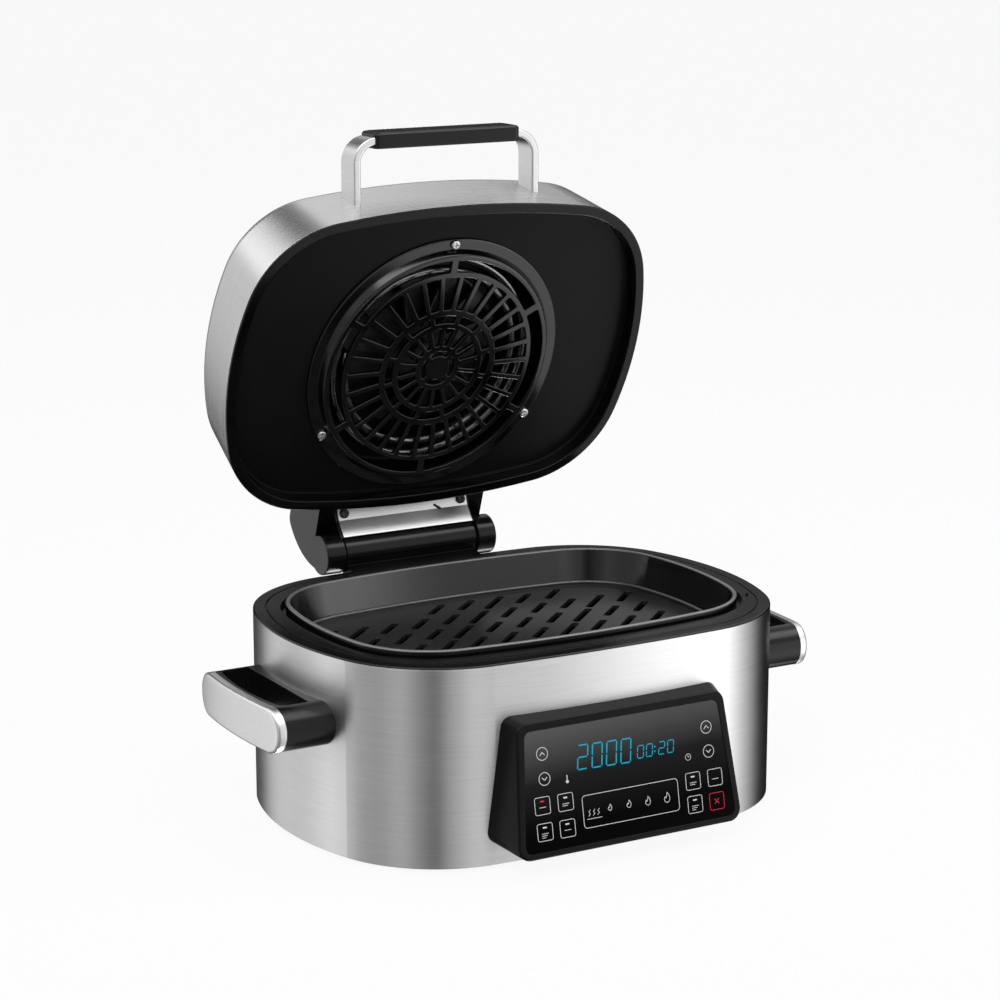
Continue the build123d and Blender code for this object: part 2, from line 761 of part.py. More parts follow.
guard_screw_spots = [around(guard_screw_circle, degree) for degree in (30, 150, 270)]
lid_liner = oval_block(lid_plan, rim_top, rim_top + lid_liner_wall, rim_width - 4.0)
lid_liner += oval_block(lid_plan, rim_top, recess_floor + lid_liner_wall, liner_start - lid_liner_wall)
lid_liner -= oval_block(lid_plan, rim_top, recess_floor, liner_start, rim_width + recess_draft - liner_start)
lid_liner -= disc(guard_opening, rim_top, recess_floor + lid_liner_wall)
for x, y in guard_screw_spots:
    lid_liner -= disc(screw_radius + screw_hole_fit, rim_top, recess_floor + 5.0, x, y)
save_lid("lid_liner", lid_liner)

guard_flange_low = recess_floor - guard_flange_thickness
guard_low = guard_flange_low - guard_rise
dish_radius = guard_radius - guard_flange
fan_guard = Pos(0, fan_setback, (guard_low + guard_flange_low) / 2) * Cone(
    dish_radius - guard_flare, dish_radius, guard_rise
)
fan_guard = fillet(fan_guard.edges().sort_by(Axis.Z)[0], 2.0)
flange_disc = disc(guard_radius, guard_flange_low, recess_floor)
fan_guard += fillet(flange_disc.edges().sort_by(Axis.Z)[0], 0.8)
cavity_height = recess_floor - guard_low - guard_face
fan_guard -= Pos(0, fan_setback, recess_floor - cavity_height / 2) * Cone(
    dish_radius - guard_flare - guard_wall, dish_radius - guard_wall, cavity_height
)
for x, y in guard_screw_spots:
    fan_guard -= disc(screw_radius + screw_hole_fit, guard_low, recess_floor, x, y)


def ring_slots(inner, outer, count, rib, start):
    # an annular opening divided by evenly turned ribs, with rounded corners
    shape = Circle(outer) - Circle(inner)
    for index in range(count):
        middle = (inner + outer) / 2
        shape -= Rot(0, 0, start + 360 / count * index) * Pos(middle, 0) * Rectangle(outer - inner + 4.0, rib)
    shape = fillet(shape.vertices(), slot_corner)
    return extrude(Pos(0, fan_setback, guard_low) * shape, amount=guard_face)


fan_guard -= ring_slots(outer_arc_inner, outer_arc_outer, outer_arc_count, rib_width * 1.5, 30)
fan_guard -= ring_slots(outer_slot_inner, outer_slot_outer, outer_slot_count, rib_width, 0)
fan_guard -= ring_slots(middle_arc_inner, middle_arc_outer, middle_arc_count, rib_width, 15)
fan_guard -= ring_slots(inner_slot_inner, inner_slot_outer, inner_slot_count, inner_rib_width, 10)
fan_guard -= ring_slots(hub_arc_inner, hub_arc_outer, hub_arc_count, rib_width, 45)
save_lid("fan_guard", fan_guard)
guard_screws = [
    screw((x, fan_setback + y, guard_flange_low), (0, 0, 1), guard_flange_thickness + lid_liner_wall - 0.1)
    for x, y in guard_screw_spots
]
save_lid("guard_screws", *guard_screws)

# Heating coil: half circles whose centres alternate, with tails that rise through the chamber
coil_z = lid_base + coil_depth
ceiling = lid_base + chamber_ceiling
chamber_low = recess_floor + lid_liner_wall
tail_top = ceiling + chamber_wall + coil_tail


def coil_point(x, y, z):
    return Vector(x, fan_setback + y, z)


def coil_quarter(x, direction):
    # bend from the vertical tail into the coil's level
    middle = coil_bend * cos(radians(45))
    return ThreePointArc(
        coil_point(x, direction * coil_bend, coil_z + coil_bend),
        coil_point(x, direction * middle, coil_z + coil_bend - middle),
        coil_point(x, 0, coil_z),
    )


coil_last_x = coil_start_radius + coil_pitch * coil_half_turns / 2
coil_path = [
    Line(
        coil_point(-coil_start_radius, -coil_bend, tail_top),
        coil_point(-coil_start_radius, -coil_bend, coil_z + coil_bend),
    ),
    coil_quarter(-coil_start_radius, -1),
]
for half in range(coil_half_turns):
    radius = coil_start_radius + half * coil_pitch / 2
    centre_x = -coil_pitch / 2 if half % 2 else 0.0
    start = 0 if half % 2 else 180
    coil_path.append(Pos(0, fan_setback, coil_z) * CenterArc((centre_x, 0), radius, start, -180))
coil_path.append(coil_quarter(-coil_last_x, 1))
coil_path.append(
    Line(coil_point(-coil_last_x, coil_bend, coil_z + coil_bend), coil_point(-coil_last_x, coil_bend, tail_top))
)
coil_wire = Wire([edge for piece in coil_path for edge in piece.edges()])
coil_start = coil_point(-coil_start_radius, -coil_bend, tail_top)
coil_section = Plane(origin=coil_start, z_dir=(0, 0, -1)) * Circle(coil_wire_radius)
heating_coil = sweep(coil_section, path=coil_wire)
save_lid("heating_coil", heating_coil)

tail_spots = [(-coil_start_radius, -coil_bend), (-coil_last_x, coil_bend)]
bushes = []
for x, y in tail_spots:
    bush = disc(bush_radius, ceiling - 2.0, ceiling + chamber_wall, x, y)
    bush += disc(bush_radius + 2.0, ceiling + chamber_wall, ceiling + chamber_wall + 3.0, x, y)
    bushes.append(bush - disc(coil_wire_radius + 0.05, ceiling - 2.0, ceiling + chamber_wall + 3.0, x, y))
save_lid("coil_bushes", *bushes)

# Heat chamber over the fan, with its motor and probe
motor_screw_x = motor_bracket_half_length - 6.0
probe_x = (chamber_radius + coil_start_radius + coil_pitch + coil_wire_radius) / 2
heat_chamber = disc(chamber_radius, chamber_low, ceiling + chamber_wall)
heat_chamber = fillet(heat_chamber.edges().sort_by(Axis.Z)[-1], 3.0)
chamber_void = disc(chamber_radius - chamber_wall, chamber_low, ceiling)
heat_chamber -= fillet(chamber_void.edges().sort_by(Axis.Z)[-1], 2.0)
heat_chamber += disc(chamber_radius + chamber_flange, chamber_low, chamber_low + chamber_wall) - disc(
    chamber_radius - chamber_wall, chamber_low, chamber_low + chamber_wall
)
for x, y in tail_spots:
    heat_chamber -= disc(bush_radius + 0.05, ceiling - 1.0, ceiling + 5.0, x, y)
heat_chamber -= disc(shaft_radius + 2.0, ceiling - 1.0, ceiling + 5.0)
heat_chamber -= disc(probe_radius + 0.1, ceiling - 1.0, ceiling + 5.0, probe_x)
bracket_low = ceiling + chamber_wall
bracket_high = bracket_low + motor_bracket_thickness
motor_bracket = box_between(
    (-motor_bracket_half_length, fan_setback - motor_bracket_width / 2, bracket_low),
    (motor_bracket_half_length, fan_setback + motor_bracket_width / 2, bracket_high),
)
motor_bracket = fillet(motor_bracket.edges().filter_by(Axis.Z), 5.0)
motor_bracket += disc(motor_radius + 2.0, bracket_low, bracket_high)
motor_bracket -= disc(shaft_radius + 4.0, bracket_low, bracket_high)
for side in (-1, 1):
    bore = disc(screw_radius + screw_hole_fit, ceiling - 2.0, bracket_high, side * motor_screw_x)
    motor_bracket -= bore
    heat_chamber -= bore
save_lid("heat_chamber", heat_chamber)
save_lid("motor_bracket", motor_bracket)
motor_screws = [
    screw((side * motor_screw_x, fan_setback, bracket_high), (0, 0, -1), 4.0) for side in (-1, 1)
]
save_lid("motor_screws", *motor_screws)

shaft_low = lid_base + fan_disc_depth - fan_blade_height - fan_nut_height - 1.0
shaft_high = bracket_high + motor_height / 3
motor = disc(motor_radius, bracket_high, bracket_high + motor_height)
motor = fillet(motor.edges().sort_by(Axis.Z)[-1], 3.0)
motor -= disc(shaft_radius + shaft_fit, bracket_high, shaft_high + 0.5)
save_lid("fan_motor", motor)
probe = disc(probe_radius, ceiling - 12.0, bracket_low + 6.0, probe_x)
probe = fillet(probe.edges().sort_by(Axis.Z)[0], probe_radius - 0.4)
probe += disc(probe_radius + 2.5, bracket_low, bracket_low + 2.0, probe_x)
save_lid("temperature_probe", probe)

fan_disc_low = lid_base + fan_disc_depth
fan_low = fan_disc_low - fan_blade_height
fan = disc(fan_radius, fan_disc_low, fan_disc_low + fan_disc_thickness)
fan += disc(fan_hub_radius, fan_low, fan_disc_low)
blades = []
for index in range(fan_blade_count):
    place = Pos(0, fan_setback, fan_low + fan_blade_height / 2) * Rot(0, 0, 360 / fan_blade_count * index)
    blade_length = fan_radius - fan_blade_inner
    blade = Pos(fan_blade_inner + blade_length / 2, 0, 0) * Rot(0, 0, 14)
    blades.append(place * blade * Box(blade_length * 0.94, fan_blade_thickness, fan_blade_height))
fan += blades
fan -= disc(shaft_radius, fan_low, fan_disc_low + fan_disc_thickness)
save_lid("fan", fan)
save_lid("fan_shaft", disc(shaft_radius, shaft_low, shaft_high))
nut_plane = Plane(origin=(0, fan_setback, fan_low - fan_nut_height))
nut = extrude(nut_plane * RegularPolygon(shaft_radius * 1.8, 6), amount=fan_nut_height)
save_lid("fan_nut", nut - disc(shaft_radius, fan_low - fan_nut_height, fan_low))

# Hinge base on the rear wall
def hinge_point(radius, degree):
    return hinge_y + radius * cos(radians(degree)), hinge_z + radius * sin(radians(degree))


def across_rod(radius, start_x, end_x):
    return rod(radius, (start_x, hinge_y, hinge_z), (end_x, hinge_y, hinge_z))


base_plate_top = deck_underside + 2.6
base_plate_low = base_plate_top - hinge_base_height
base_back = body_half_depth + hinge_base_wall
neck_upper = hinge_point(barrel_radius - 0.2, neck_upper_angle)
neck_lower = hinge_point(barrel_radius - 0.2, neck_lower_angle)
neck_lines = [neck_upper, (base_back - 1.0, base_plate_top), (base_back - 1.0, base_plate_low + 8.0), neck_lower]
hinge_base = side_profile(neck_lines + [(hinge_y, hinge_z)], barrel_half_length)
pocket_lines = [
    (base_back + 1.5, base_plate_top - 8.0),
    (base_back + 1.5, base_plate_low + 6.0),
    (neck_lower[0] + 4.0, neck_lower[1] - 10.0),
    (neck_lower[0] - 6.0, neck_lower[1] + 2.0),
]
pocket_half = (2 * barrel_half_length - 5 * 3.0) / 8
for index in range(4):
    centre_x = -barrel_half_length + 3.0 + pocket_half + index * (2 * pocket_half + 3.0)
    hinge_base -= Pos(centre_x, 0, 0) * side_profile(pocket_lines, pocket_half)
leaf = box_between(
    (-barrel_half_length, body_half_depth - 6.0, base_plate_low), (barrel_half_length, base_back, base_plate_top)
)
leaf = fillet(leaf.edges().filter_by(Axis.Y), 5.0)
leaf -= oval_block(body_plan, foot_height, deck_top + 5.0)
hinge_base += leaf
hinge_base += across_rod(barrel_radius, -barrel_half_length, barrel_half_length)
hinge_base -= across_rod(pin_radius + pin_fit, -barrel_half_length, barrel_half_length)
hinge_screws = []
for x, z in hinge_screw_spots:
    seat_y = rear_wall_y(x) - shell_wall - 2 * seat_fit
    hinge_screws.append(screw((x, seat_y, z), (0, 1, 0), shell_wall + hinge_screw_grip))
    hinge_base -= rod(screw_radius, (x, seat_y, z), (x, seat_y + shell_wall + hinge_screw_grip, z))
save("hinge_base", hinge_base)
save("hinge_base_screws", *hinge_screws)

# Hinge pin, washers and end caps that turn with the lid
washer_low = barrel_half_length + 0.1
cheek_low = barrel_half_length + cheek_gap
save_lid("hinge_pin", across_rod(pin_radius, -cover_half_width, cover_half_width))
washers = [
    across_rod(washer_radius, side * washer_low, side * cheek_low) - across_rod(pin_radius, side * washer_low, side * cheek_low)
    for side in (-1, 1)
]
save_lid("friction_washers", *washers)
caps = []
for side in (-1, 1):
    cap = across_rod(cheek_radius, side * cover_half_width, side * (cover_half_width + cap_thickness))
    outer_edge = cap.edges().sort_by(Axis.X)[-1 if side > 0 else 0]
    caps.append(fillet(outer_edge, 0.9))
save_lid("hinge_caps", *caps)


# Steel hinge plate: a bent strip from the barrel up to the lid's rear wall
def offset_line(points, distance):
    # mitred copy of an open line, shifted to its right-hand side
    normals = []
    for (y0, z0), (y1, z1) in zip(points, points[1:]):
        length = hypot(y1 - y0, z1 - z0)
        normals.append(((z1 - z0) / length, -(y1 - y0) / length))
    shifted = []
    for index, (y, z) in enumerate(points):
        before = normals[max(index - 1, 0)]
        after = normals[min(index, len(normals) - 1)]
        scale = distance / (1 + before[0] * after[0] + before[1] * after[1])
        shifted.append((y + (before[0] + after[0]) * scale, z + (before[1] + after[1]) * scale))
    return shifted


leaf_line = [
    (hinge_y - leaf_lower_reach, hinge_z - leaf_lower_drop),
    (hinge_y - leaf_bend_reach, hinge_z + leaf_bend_rise),
    (hinge_y - leaf_upper_reach, hinge_z + leaf_upper_rise),
]
leaf_back = offset_line(leaf_line, leaf_thickness)
hinge_plate = side_profile(leaf_line + leaf_back[::-1], barrel_half_length)
hinge_plate -= lid_outer
(bend_y, bend_z), (upper_y, upper_z) = leaf_line[1:]
strip_length = hypot(upper_y - bend_y, upper_z - bend_z)
strip_normal = ((upper_z - bend_z) / strip_length, -(upper_y - bend_y) / strip_length)
screw_y = bend_y + (upper_y - bend_y) * leaf_screw_share
screw_z = bend_z + (upper_z - bend_z) * leaf_screw_share
strip_direction = (0, strip_normal[0], strip_normal[1])
plate_screws = []
plate_bores = []
for side in (-1, 1):
    seat = (side * leaf_screw_x, screw_y, screw_z)
    tip = tuple(a + b * 7.0 for a, b in zip(seat, strip_direction))
    plate_screws.append(screw(seat, strip_direction, 6.0))
    plate_bores.append(rod(screw_radius, seat, tip))
slot_y = bend_y + (upper_y - bend_y) * leaf_slot_share
slot_z = bend_z + (upper_z - bend_z) * leaf_slot_share
strip_plane = Plane(origin=(leaf_slot_x, slot_y, slot_z), x_dir=(1, 0, 0), z_dir=strip_direction)
hinge_plate -= plate_bores
hinge_plate -= extrude(strip_plane * Rot(0, 0, 35) * SlotOverall(7.0, 1.8), amount=3.0, both=True)
save_lid("hinge_plate", hinge_plate)
save_lid("hinge_plate_screws", *plate_screws)

# Rear lid cover with its two hinge cheeks
crest_z = lid_top - cover_crest_drop
inner_y = lid_plan[1] - 22.0


def leaning_y(distance, z):
    # rear face: a plane tangent to a circle of this radius about the hinge
    return hinge_y + (distance - (z - hinge_z) * sin(radians(cover_lean))) / cos(radians(cover_lean))


def bowed_back(high, low, bulge):
    # the middle point of the cover's bowed rear face
    length = hypot(high[0] - low[0], high[1] - low[1])
    out_y = (high[1] - low[1]) / length
    out_z = -(high[0] - low[0]) / length
    return (high[0] + low[0]) / 2 + bulge * out_y, (high[1] + low[1]) / 2 + bulge * out_z


tangent = hinge_point(cheek_radius, cover_lean)
wrap_middle = hinge_point(cheek_radius, (cover_lean + cover_wrap_end) / 2)
wrap_end = hinge_point(cheek_radius, cover_wrap_end)
crest = (leaning_y(cheek_radius, crest_z), crest_z)
outline = leaf_back + [(inner_y, leaf_back[-1][1]), (inner_y, crest_z), crest, tangent]
flat = [(0, y, z) for y, z in outline]
back_middle = bowed_back(crest, tangent, cover_bulge)
middle_edges = Polyline(*flat[:-1]).edges()
middle_edges.append(ThreePointArc(flat[-2], (0, *back_middle), flat[-1]).edge())
middle_edges.append(ThreePointArc(flat[-1], (0, *wrap_middle), (0, *wrap_end)).edge())
middle_edges.append(Line((0, *wrap_end), flat[0]).edge())
cover = extrude(Face(Wire(middle_edges)), amount=barrel_half_length + cheek_gap, dir=(1, 0, 0), both=True)
cover -= across_rod(barrel_radius + cover_clearance, -cheek_low, cheek_low)
wing_low = hinge_z + cover_wing_rise
wing_lines = [tangent, (hinge_y, hinge_z), (hinge_y - 8.0, wing_low), (inner_y, wing_low), (inner_y, crest_z), crest]
wing_edges = Polyline(*[(0, y, z) for y, z in wing_lines]).edges()
wing_edges.append(ThreePointArc((0, *crest), (0, *back_middle), (0, *tangent)).edge())
wing_width = cover_half_width - cheek_low
for side in (-1, 1):
    middle_x = side * (cheek_low + cover_half_width) / 2
    cover += Pos(middle_x, 0, 0) * extrude(Face(Wire(wing_edges)), amount=wing_width / 2, dir=(1, 0, 0), both=True)
    cover += across_rod(cheek_radius, side * cheek_low, side * cover_half_width)
crest_edges = cover.edges().filter_by(Axis.X).filter_by(
    lambda edge: abs(edge.center().Z - crest_z) < 0.01 and edge.center().Y > inner_y + 5.0
)
cover = fillet(crest_edges, cover_crest_round)
hollow_low = hinge_z + barrel_radius + cover_clearance + cover_wall
hollow_high = crest_z - cover_wall
hollow_radius = cheek_radius - cover_wall
hollow_bottom = (leaning_y(hollow_radius, hollow_low), hollow_low)
hollow_crest = (leaning_y(hollow_radius, hollow_high), hollow_high)
hollow_lines = [
    hollow_crest,
    (inner_y, hollow_high),
    (inner_y, hollow_low + 15.0),
    (hinge_y - leaf_bend_reach - 16.0, hollow_low + 9.0),
    (hinge_y - leaf_bend_reach, hollow_low + 1.0),
    hollow_bottom,
]
hollow_middle = bowed_back(hollow_crest, hollow_bottom, cover_bulge * 0.75)
hollow_edges = Polyline(*[(0, y, z) for y, z in hollow_lines]).edges()
hollow_edges.append(ThreePointArc((0, *hollow_bottom), (0, *hollow_middle), (0, *hollow_crest)).edge())
hollow = extrude(Face(Wire(hollow_edges)), amount=cover_half_width - cover_wall, dir=(1, 0, 0), both=True)
hollow_edges = hollow.edges().filter_by(Axis.X).filter_by(lambda edge: edge.center().Z > hollow_high - 0.1)
hollow = fillet(hollow_edges.sort_by(Axis.Y)[-1], cover_crest_round - cover_wall)
cover -= hollow
vent_z = hinge_z + 33.0
for index in range(cover_vent_count):
    vent_x = (index - (cover_vent_count - 1) / 2) * cover_vent_pitch
    vent_plane = Plane(origin=(vent_x, hinge_y - 6.0, vent_z), x_dir=(0, 0, 1), z_dir=(0, 1, 0))
    cover -= extrude(vent_plane * SlotOverall(cover_vent_height, cover_vent_width), amount=40.0)
cover -= across_rod(pin_radius, -cover_half_width, cover_half_width)
cover -= plate_bores
cover -= lid_outer
save_lid("lid_rear_cover", cover)

# Lid handle, drawn in the open pose
strap_y = hinge_y + (strap_foot_y - hinge_y) * cos(turn) + (strap_foot_z - hinge_z) * sin(turn)
strap_low = hinge_z - (strap_foot_y - hinge_y) * sin(turn) + (strap_foot_z - hinge_z) * cos(turn)
strap_top = strap_low + strap_reach
strap_plane = Plane(origin=(0, strap_y, 0), x_dir=(1, 0, 0), z_dir=(0, -1, 0))


def arch(half_width, top, bend):
    low = strap_low - 14.0
    shape = Pos(0, (low + top) / 2) * Rectangle(2 * half_width, top - low)
    shape = fillet(shape.vertices().sort_by(Axis.Y)[-2:], bend)
    return extrude(strap_plane * shape, amount=strap_depth / 2, both=True)


strap = arch(strap_half_width, strap_top, strap_bend)
strap -= arch(strap_half_width - strap_thickness, strap_top - strap_thickness, strap_bend - strap_thickness)
side_edges = strap.edges().filter_by(lambda edge: abs(abs(edge.center().Y - strap_y) - strap_depth / 2) < 0.01)
strap = fillet(side_edges.filter_by(lambda edge: edge.center().Z > strap_low - 13.0), strap_edge_round)
strap -= open_lid(lid_outer)
strap -= [open_lid(bore) for bore in handle_screw_bores]
strap = strap.solids().sort_by(Axis.Z)[-1]
save("lid_handle_strap", strap)

grip_low = strap_top - grip_below
grip_high = strap_top + grip_above
grip = box_between(
    (-grip_half_length, strap_y - grip_depth / 2, grip_low), (grip_half_length, strap_y + grip_depth / 2, grip_high)
)
grip = fillet(grip.edges().filter_by(Axis.Z), grip_corner)
grip = fillet(grip.faces().sort_by(Axis.Z)[-1].edges(), grip_edge)
grip = fillet(grip.faces().sort_by(Axis.Z)[0].edges(), grip_edge * 0.6)
grip -= strap
save("lid_handle_grip", grip)
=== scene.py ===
import bmesh
import bpy
import json
from math import cos, pi, radians, sin
from mathutils import Matrix, Vector


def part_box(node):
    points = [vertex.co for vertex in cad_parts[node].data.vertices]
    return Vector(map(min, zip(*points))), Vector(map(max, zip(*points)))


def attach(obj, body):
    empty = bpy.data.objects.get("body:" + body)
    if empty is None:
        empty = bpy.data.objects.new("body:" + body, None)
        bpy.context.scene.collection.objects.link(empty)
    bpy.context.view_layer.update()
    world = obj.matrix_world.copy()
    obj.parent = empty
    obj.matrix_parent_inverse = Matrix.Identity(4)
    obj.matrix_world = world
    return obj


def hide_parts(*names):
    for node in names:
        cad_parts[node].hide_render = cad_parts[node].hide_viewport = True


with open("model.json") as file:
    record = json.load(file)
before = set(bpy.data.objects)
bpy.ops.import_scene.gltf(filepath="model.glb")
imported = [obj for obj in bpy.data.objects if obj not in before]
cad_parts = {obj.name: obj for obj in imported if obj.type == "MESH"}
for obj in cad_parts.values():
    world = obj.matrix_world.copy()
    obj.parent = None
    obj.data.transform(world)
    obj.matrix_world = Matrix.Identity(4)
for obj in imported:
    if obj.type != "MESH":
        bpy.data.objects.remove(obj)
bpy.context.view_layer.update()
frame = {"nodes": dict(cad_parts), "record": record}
nodes = frame["nodes"]
print("stage: construction loaded with", len(nodes), "nodes")

# the camera stands where the photograph was taken from
cameraSettings = {
    "azimuth": -29.889,
    "elevation": 13.035,
    "distance": 1.987823,
    "right": -0.008418,
    "up": 0.200573,
    "height": 0.003,
    "lens": 102.6216,
    "sensor": 36.0,
}


def placeCamera(settings):
    turn, lift = radians(settings["azimuth"]), radians(settings["elevation"])
    back = Vector((sin(turn) * cos(lift), -cos(turn) * cos(lift), sin(lift)))
    right = Vector((cos(turn), sin(turn), 0))
    up = back.cross(right)
    data = bpy.data.cameras.new("camera")
    data.lens = settings["lens"]
    data.sensor_width = settings["sensor"]
    data.dof.use_dof = False
    camera = bpy.data.objects.new("camera", data)
    spot = back * settings["distance"] + right * settings["right"] + up * settings["up"]
    spot.z += settings["height"]
    axes = Matrix((right, up, back)).transposed().to_4x4()
    camera.matrix_world = Matrix.Translation(spot) @ axes
    bpy.context.scene.collection.objects.link(camera)
    bpy.context.scene.camera = camera


placeCamera(cameraSettings)
print("stage: camera placed")


# short helpers for node trees
def addNode(tree, kind, **values):
    node = tree.nodes.new(kind)
    for name, value in values.items():
        setattr(node, name, value)
    return node


def joinSockets(tree, source, target):
    tree.links.new(source, target)


def setInputs(shader, values):
    for name, value in values.items():
        shader.inputs[name].default_value = value


def objectPoints(tree, scale=(1, 1, 1), turn=(0, 0, 0)):
    # places on the piece, turned first and stretched afterwards
    coordinates = addNode(tree, "ShaderNodeTexCoord")
    turned = addNode(tree, "ShaderNodeMapping")
    turned.inputs["Rotation"].default_value = turn
    stretched = addNode(tree, "ShaderNodeMapping")
    stretched.inputs["Scale"].default_value = scale
    joinSockets(tree, coordinates.outputs["Object"], turned.inputs["Vector"])
    joinSockets(tree, turned.outputs["Vector"], stretched.inputs["Vector"])
    return stretched.outputs["Vector"]


def addNoise(tree, points, scale, detail=3.0, roughness=0.5):
    noise = addNode(tree, "ShaderNodeTexNoise")
    setInputs(noise, {"Scale": scale, "Detail": detail, "Roughness": roughness})
    joinSockets(tree, points, noise.inputs["Vector"])
    return noise.outputs["Fac"]


def addRamp(tree, factor, stops, way="LINEAR"):
    ramp = addNode(tree, "ShaderNodeValToRGB")
    ramp.color_ramp.interpolation = way
    elements = ramp.color_ramp.elements
    while len(elements) < len(stops):
        elements.new(0.5)
    for element, (place, tone) in zip(elements, stops):
        element.position = place
        element.color = (*tone, 1) if isinstance(tone, tuple) else (tone, tone, tone, 1)
    joinSockets(tree, factor, ramp.inputs["Fac"])
    return ramp.outputs["Color"]


def addMath(tree, operation, first, second=None):
    node = addNode(tree, "ShaderNodeMath", operation=operation)
    for socket, value in zip(node.inputs, (first, second)):
        if value is None:
            continue
        if isinstance(value, (int, float)):
            socket.default_value = value
        else:
            joinSockets(tree, value, socket)
    return node.outputs[0]


def mixShares(tree, first, second, share):
    # two patterns added, the first one by its share and the second by the rest
    firstPart = addMath(tree, "MULTIPLY", first, share)
    secondPart = addMath(tree, "MULTIPLY", second, 1 - share)
    return addMath(tree, "ADD", firstPart, secondPart)


def roundedNormal(tree, radius):
    # softens hard edges for the light only
    edge = addNode(tree, "ShaderNodeBevel", samples=6)
    edge.inputs["Radius"].default_value = radius
    return edge.outputs["Normal"]


def paintRelief(tree, shader, height, strength, depth, edgeRadius):
    bump = addNode(tree, "ShaderNodeBump")
    setInputs(bump, {"Strength": strength, "Distance": depth})
    joinSockets(tree, height, bump.inputs["Height"])
    joinSockets(tree, roundedNormal(tree, edgeRadius), bump.inputs["Normal"])
    joinSockets(tree, bump.outputs["Normal"], shader.inputs["Normal"])


def paintRamp(tree, shader, socket, pattern, places, tones):
    stops = list(zip(places, tones))
    joinSockets(tree, addRamp(tree, pattern, stops), shader.inputs[socket])


def newFinish(name):
    material = bpy.data.materials.new(name)
    material.use_nodes = True
    return material, material.node_tree, material.node_tree.nodes["Principled BSDF"]


def shadeColour(colour, share):
    return tuple(tone * share for tone in colour)


# steel with fine parallel grind marks: walls are ground round the axis, and faces square to the
# axis from side to side
lidTurn = radians(70.85)
upAxis = (0.0, 0.0, 1.0)
lidAxis = (0.0, sin(lidTurn), cos(lidTurn))
sideAxis = (1.0, 0.0, 0.0)
steelPattern = {
    "flatFrom": 0.8,  # a face is square to the axis from this cosine up
    "fine": {"scale": 1.0, "detail": 3.0, "roughness": 0.55},
    "broad": {"scale": 1.0, "detail": 2.0, "roughness": 0.5},
    "cloud": {"scale": 9.0, "detail": 2.0, "roughness": 0.5},
    "broadAlong": 0.5,
    "broadAcross": 0.3,
    "fineShare": 0.75,
    "markShare": 0.6,
    "tonePlaces": (0.25, 0.5, 0.75),
    "roughPlaces": (0.3, 0.7),
    "bumpDepth": 0.0002,
    "markAngle": 0.25,
}


def makeBrushedSteel(name, settings):
    material, tree, shader = newFinish(name)
    pattern = steelPattern
    along, across = settings["along"], settings["across"]

    def grind(stretch, kind):
        points = objectPoints(tree, stretch, (settings["turn"], 0, 0))
        return addNoise(tree, points, **pattern[kind])

    facing = addNode(tree, "ShaderNodeTexCoord").outputs["Normal"]
    square = addNode(tree, "ShaderNodeVectorMath", operation="DOT_PRODUCT")
    joinSockets(tree, facing, square.inputs[0])
    square.inputs[1].default_value = settings["axis"]
    cosine = addMath(tree, "ABSOLUTE", square.outputs["Value"])
    flat = addMath(tree, "GREATER_THAN", cosine, pattern["flatFrom"])
    fine = addNode(tree, "ShaderNodeMix", data_type="FLOAT")
    joinSockets(tree, flat, fine.inputs["Factor"])
    joinSockets(tree, grind((along, along, across), "fine"), fine.inputs["A"])
    joinSockets(tree, grind((along, across, along), "fine"), fine.inputs["B"])
    longer, wider = along * pattern["broadAlong"], across * pattern["broadAcross"]
    broad = grind((longer, longer, wider), "broad")
    marks = mixShares(tree, fine.outputs["Result"], broad, pattern["fineShare"])
    tones = (settings["dark"], settings["middle"], settings["light"])
    paintRamp(tree, shader, "Base Color", marks, pattern["tonePlaces"], tones)
    clouded = mixShares(tree, marks, grind((1, 1, 1), "cloud"), pattern["markShare"])
    paintRamp(tree, shader, "Roughness", clouded, pattern["roughPlaces"], settings["roughness"])
    setInputs(shader, {
        "Metallic": 1.0,
        "Anisotropic": settings["stretch"],
        "Anisotropic Rotation": pattern["markAngle"],
    })
    turned = addNode(tree, "ShaderNodeMix", data_type="VECTOR")
    joinSockets(tree, flat, turned.inputs["Factor"])
    turned.inputs["A"].default_value = settings["axis"]
    turned.inputs["B"].default_value = Vector(sideAxis).cross(Vector(settings["axis"]))
    cross = addNode(tree, "ShaderNodeVectorMath", operation="CROSS_PRODUCT")
    joinSockets(tree, facing, cross.inputs[0])
    joinSockets(tree, turned.outputs["Result"], cross.inputs[1])
    tangent = addNode(tree, "ShaderNodeVectorTransform", vector_type="VECTOR",
                      convert_from="OBJECT", convert_to="WORLD")
    joinSockets(tree, cross.outputs["Vector"], tangent.inputs[0])
    joinSockets(tree, tangent.outputs[0], shader.inputs["Tangent"])
    paintRelief(tree, shader, marks, settings["bump"], pattern["bumpDepth"], settings["edge"])
    return material


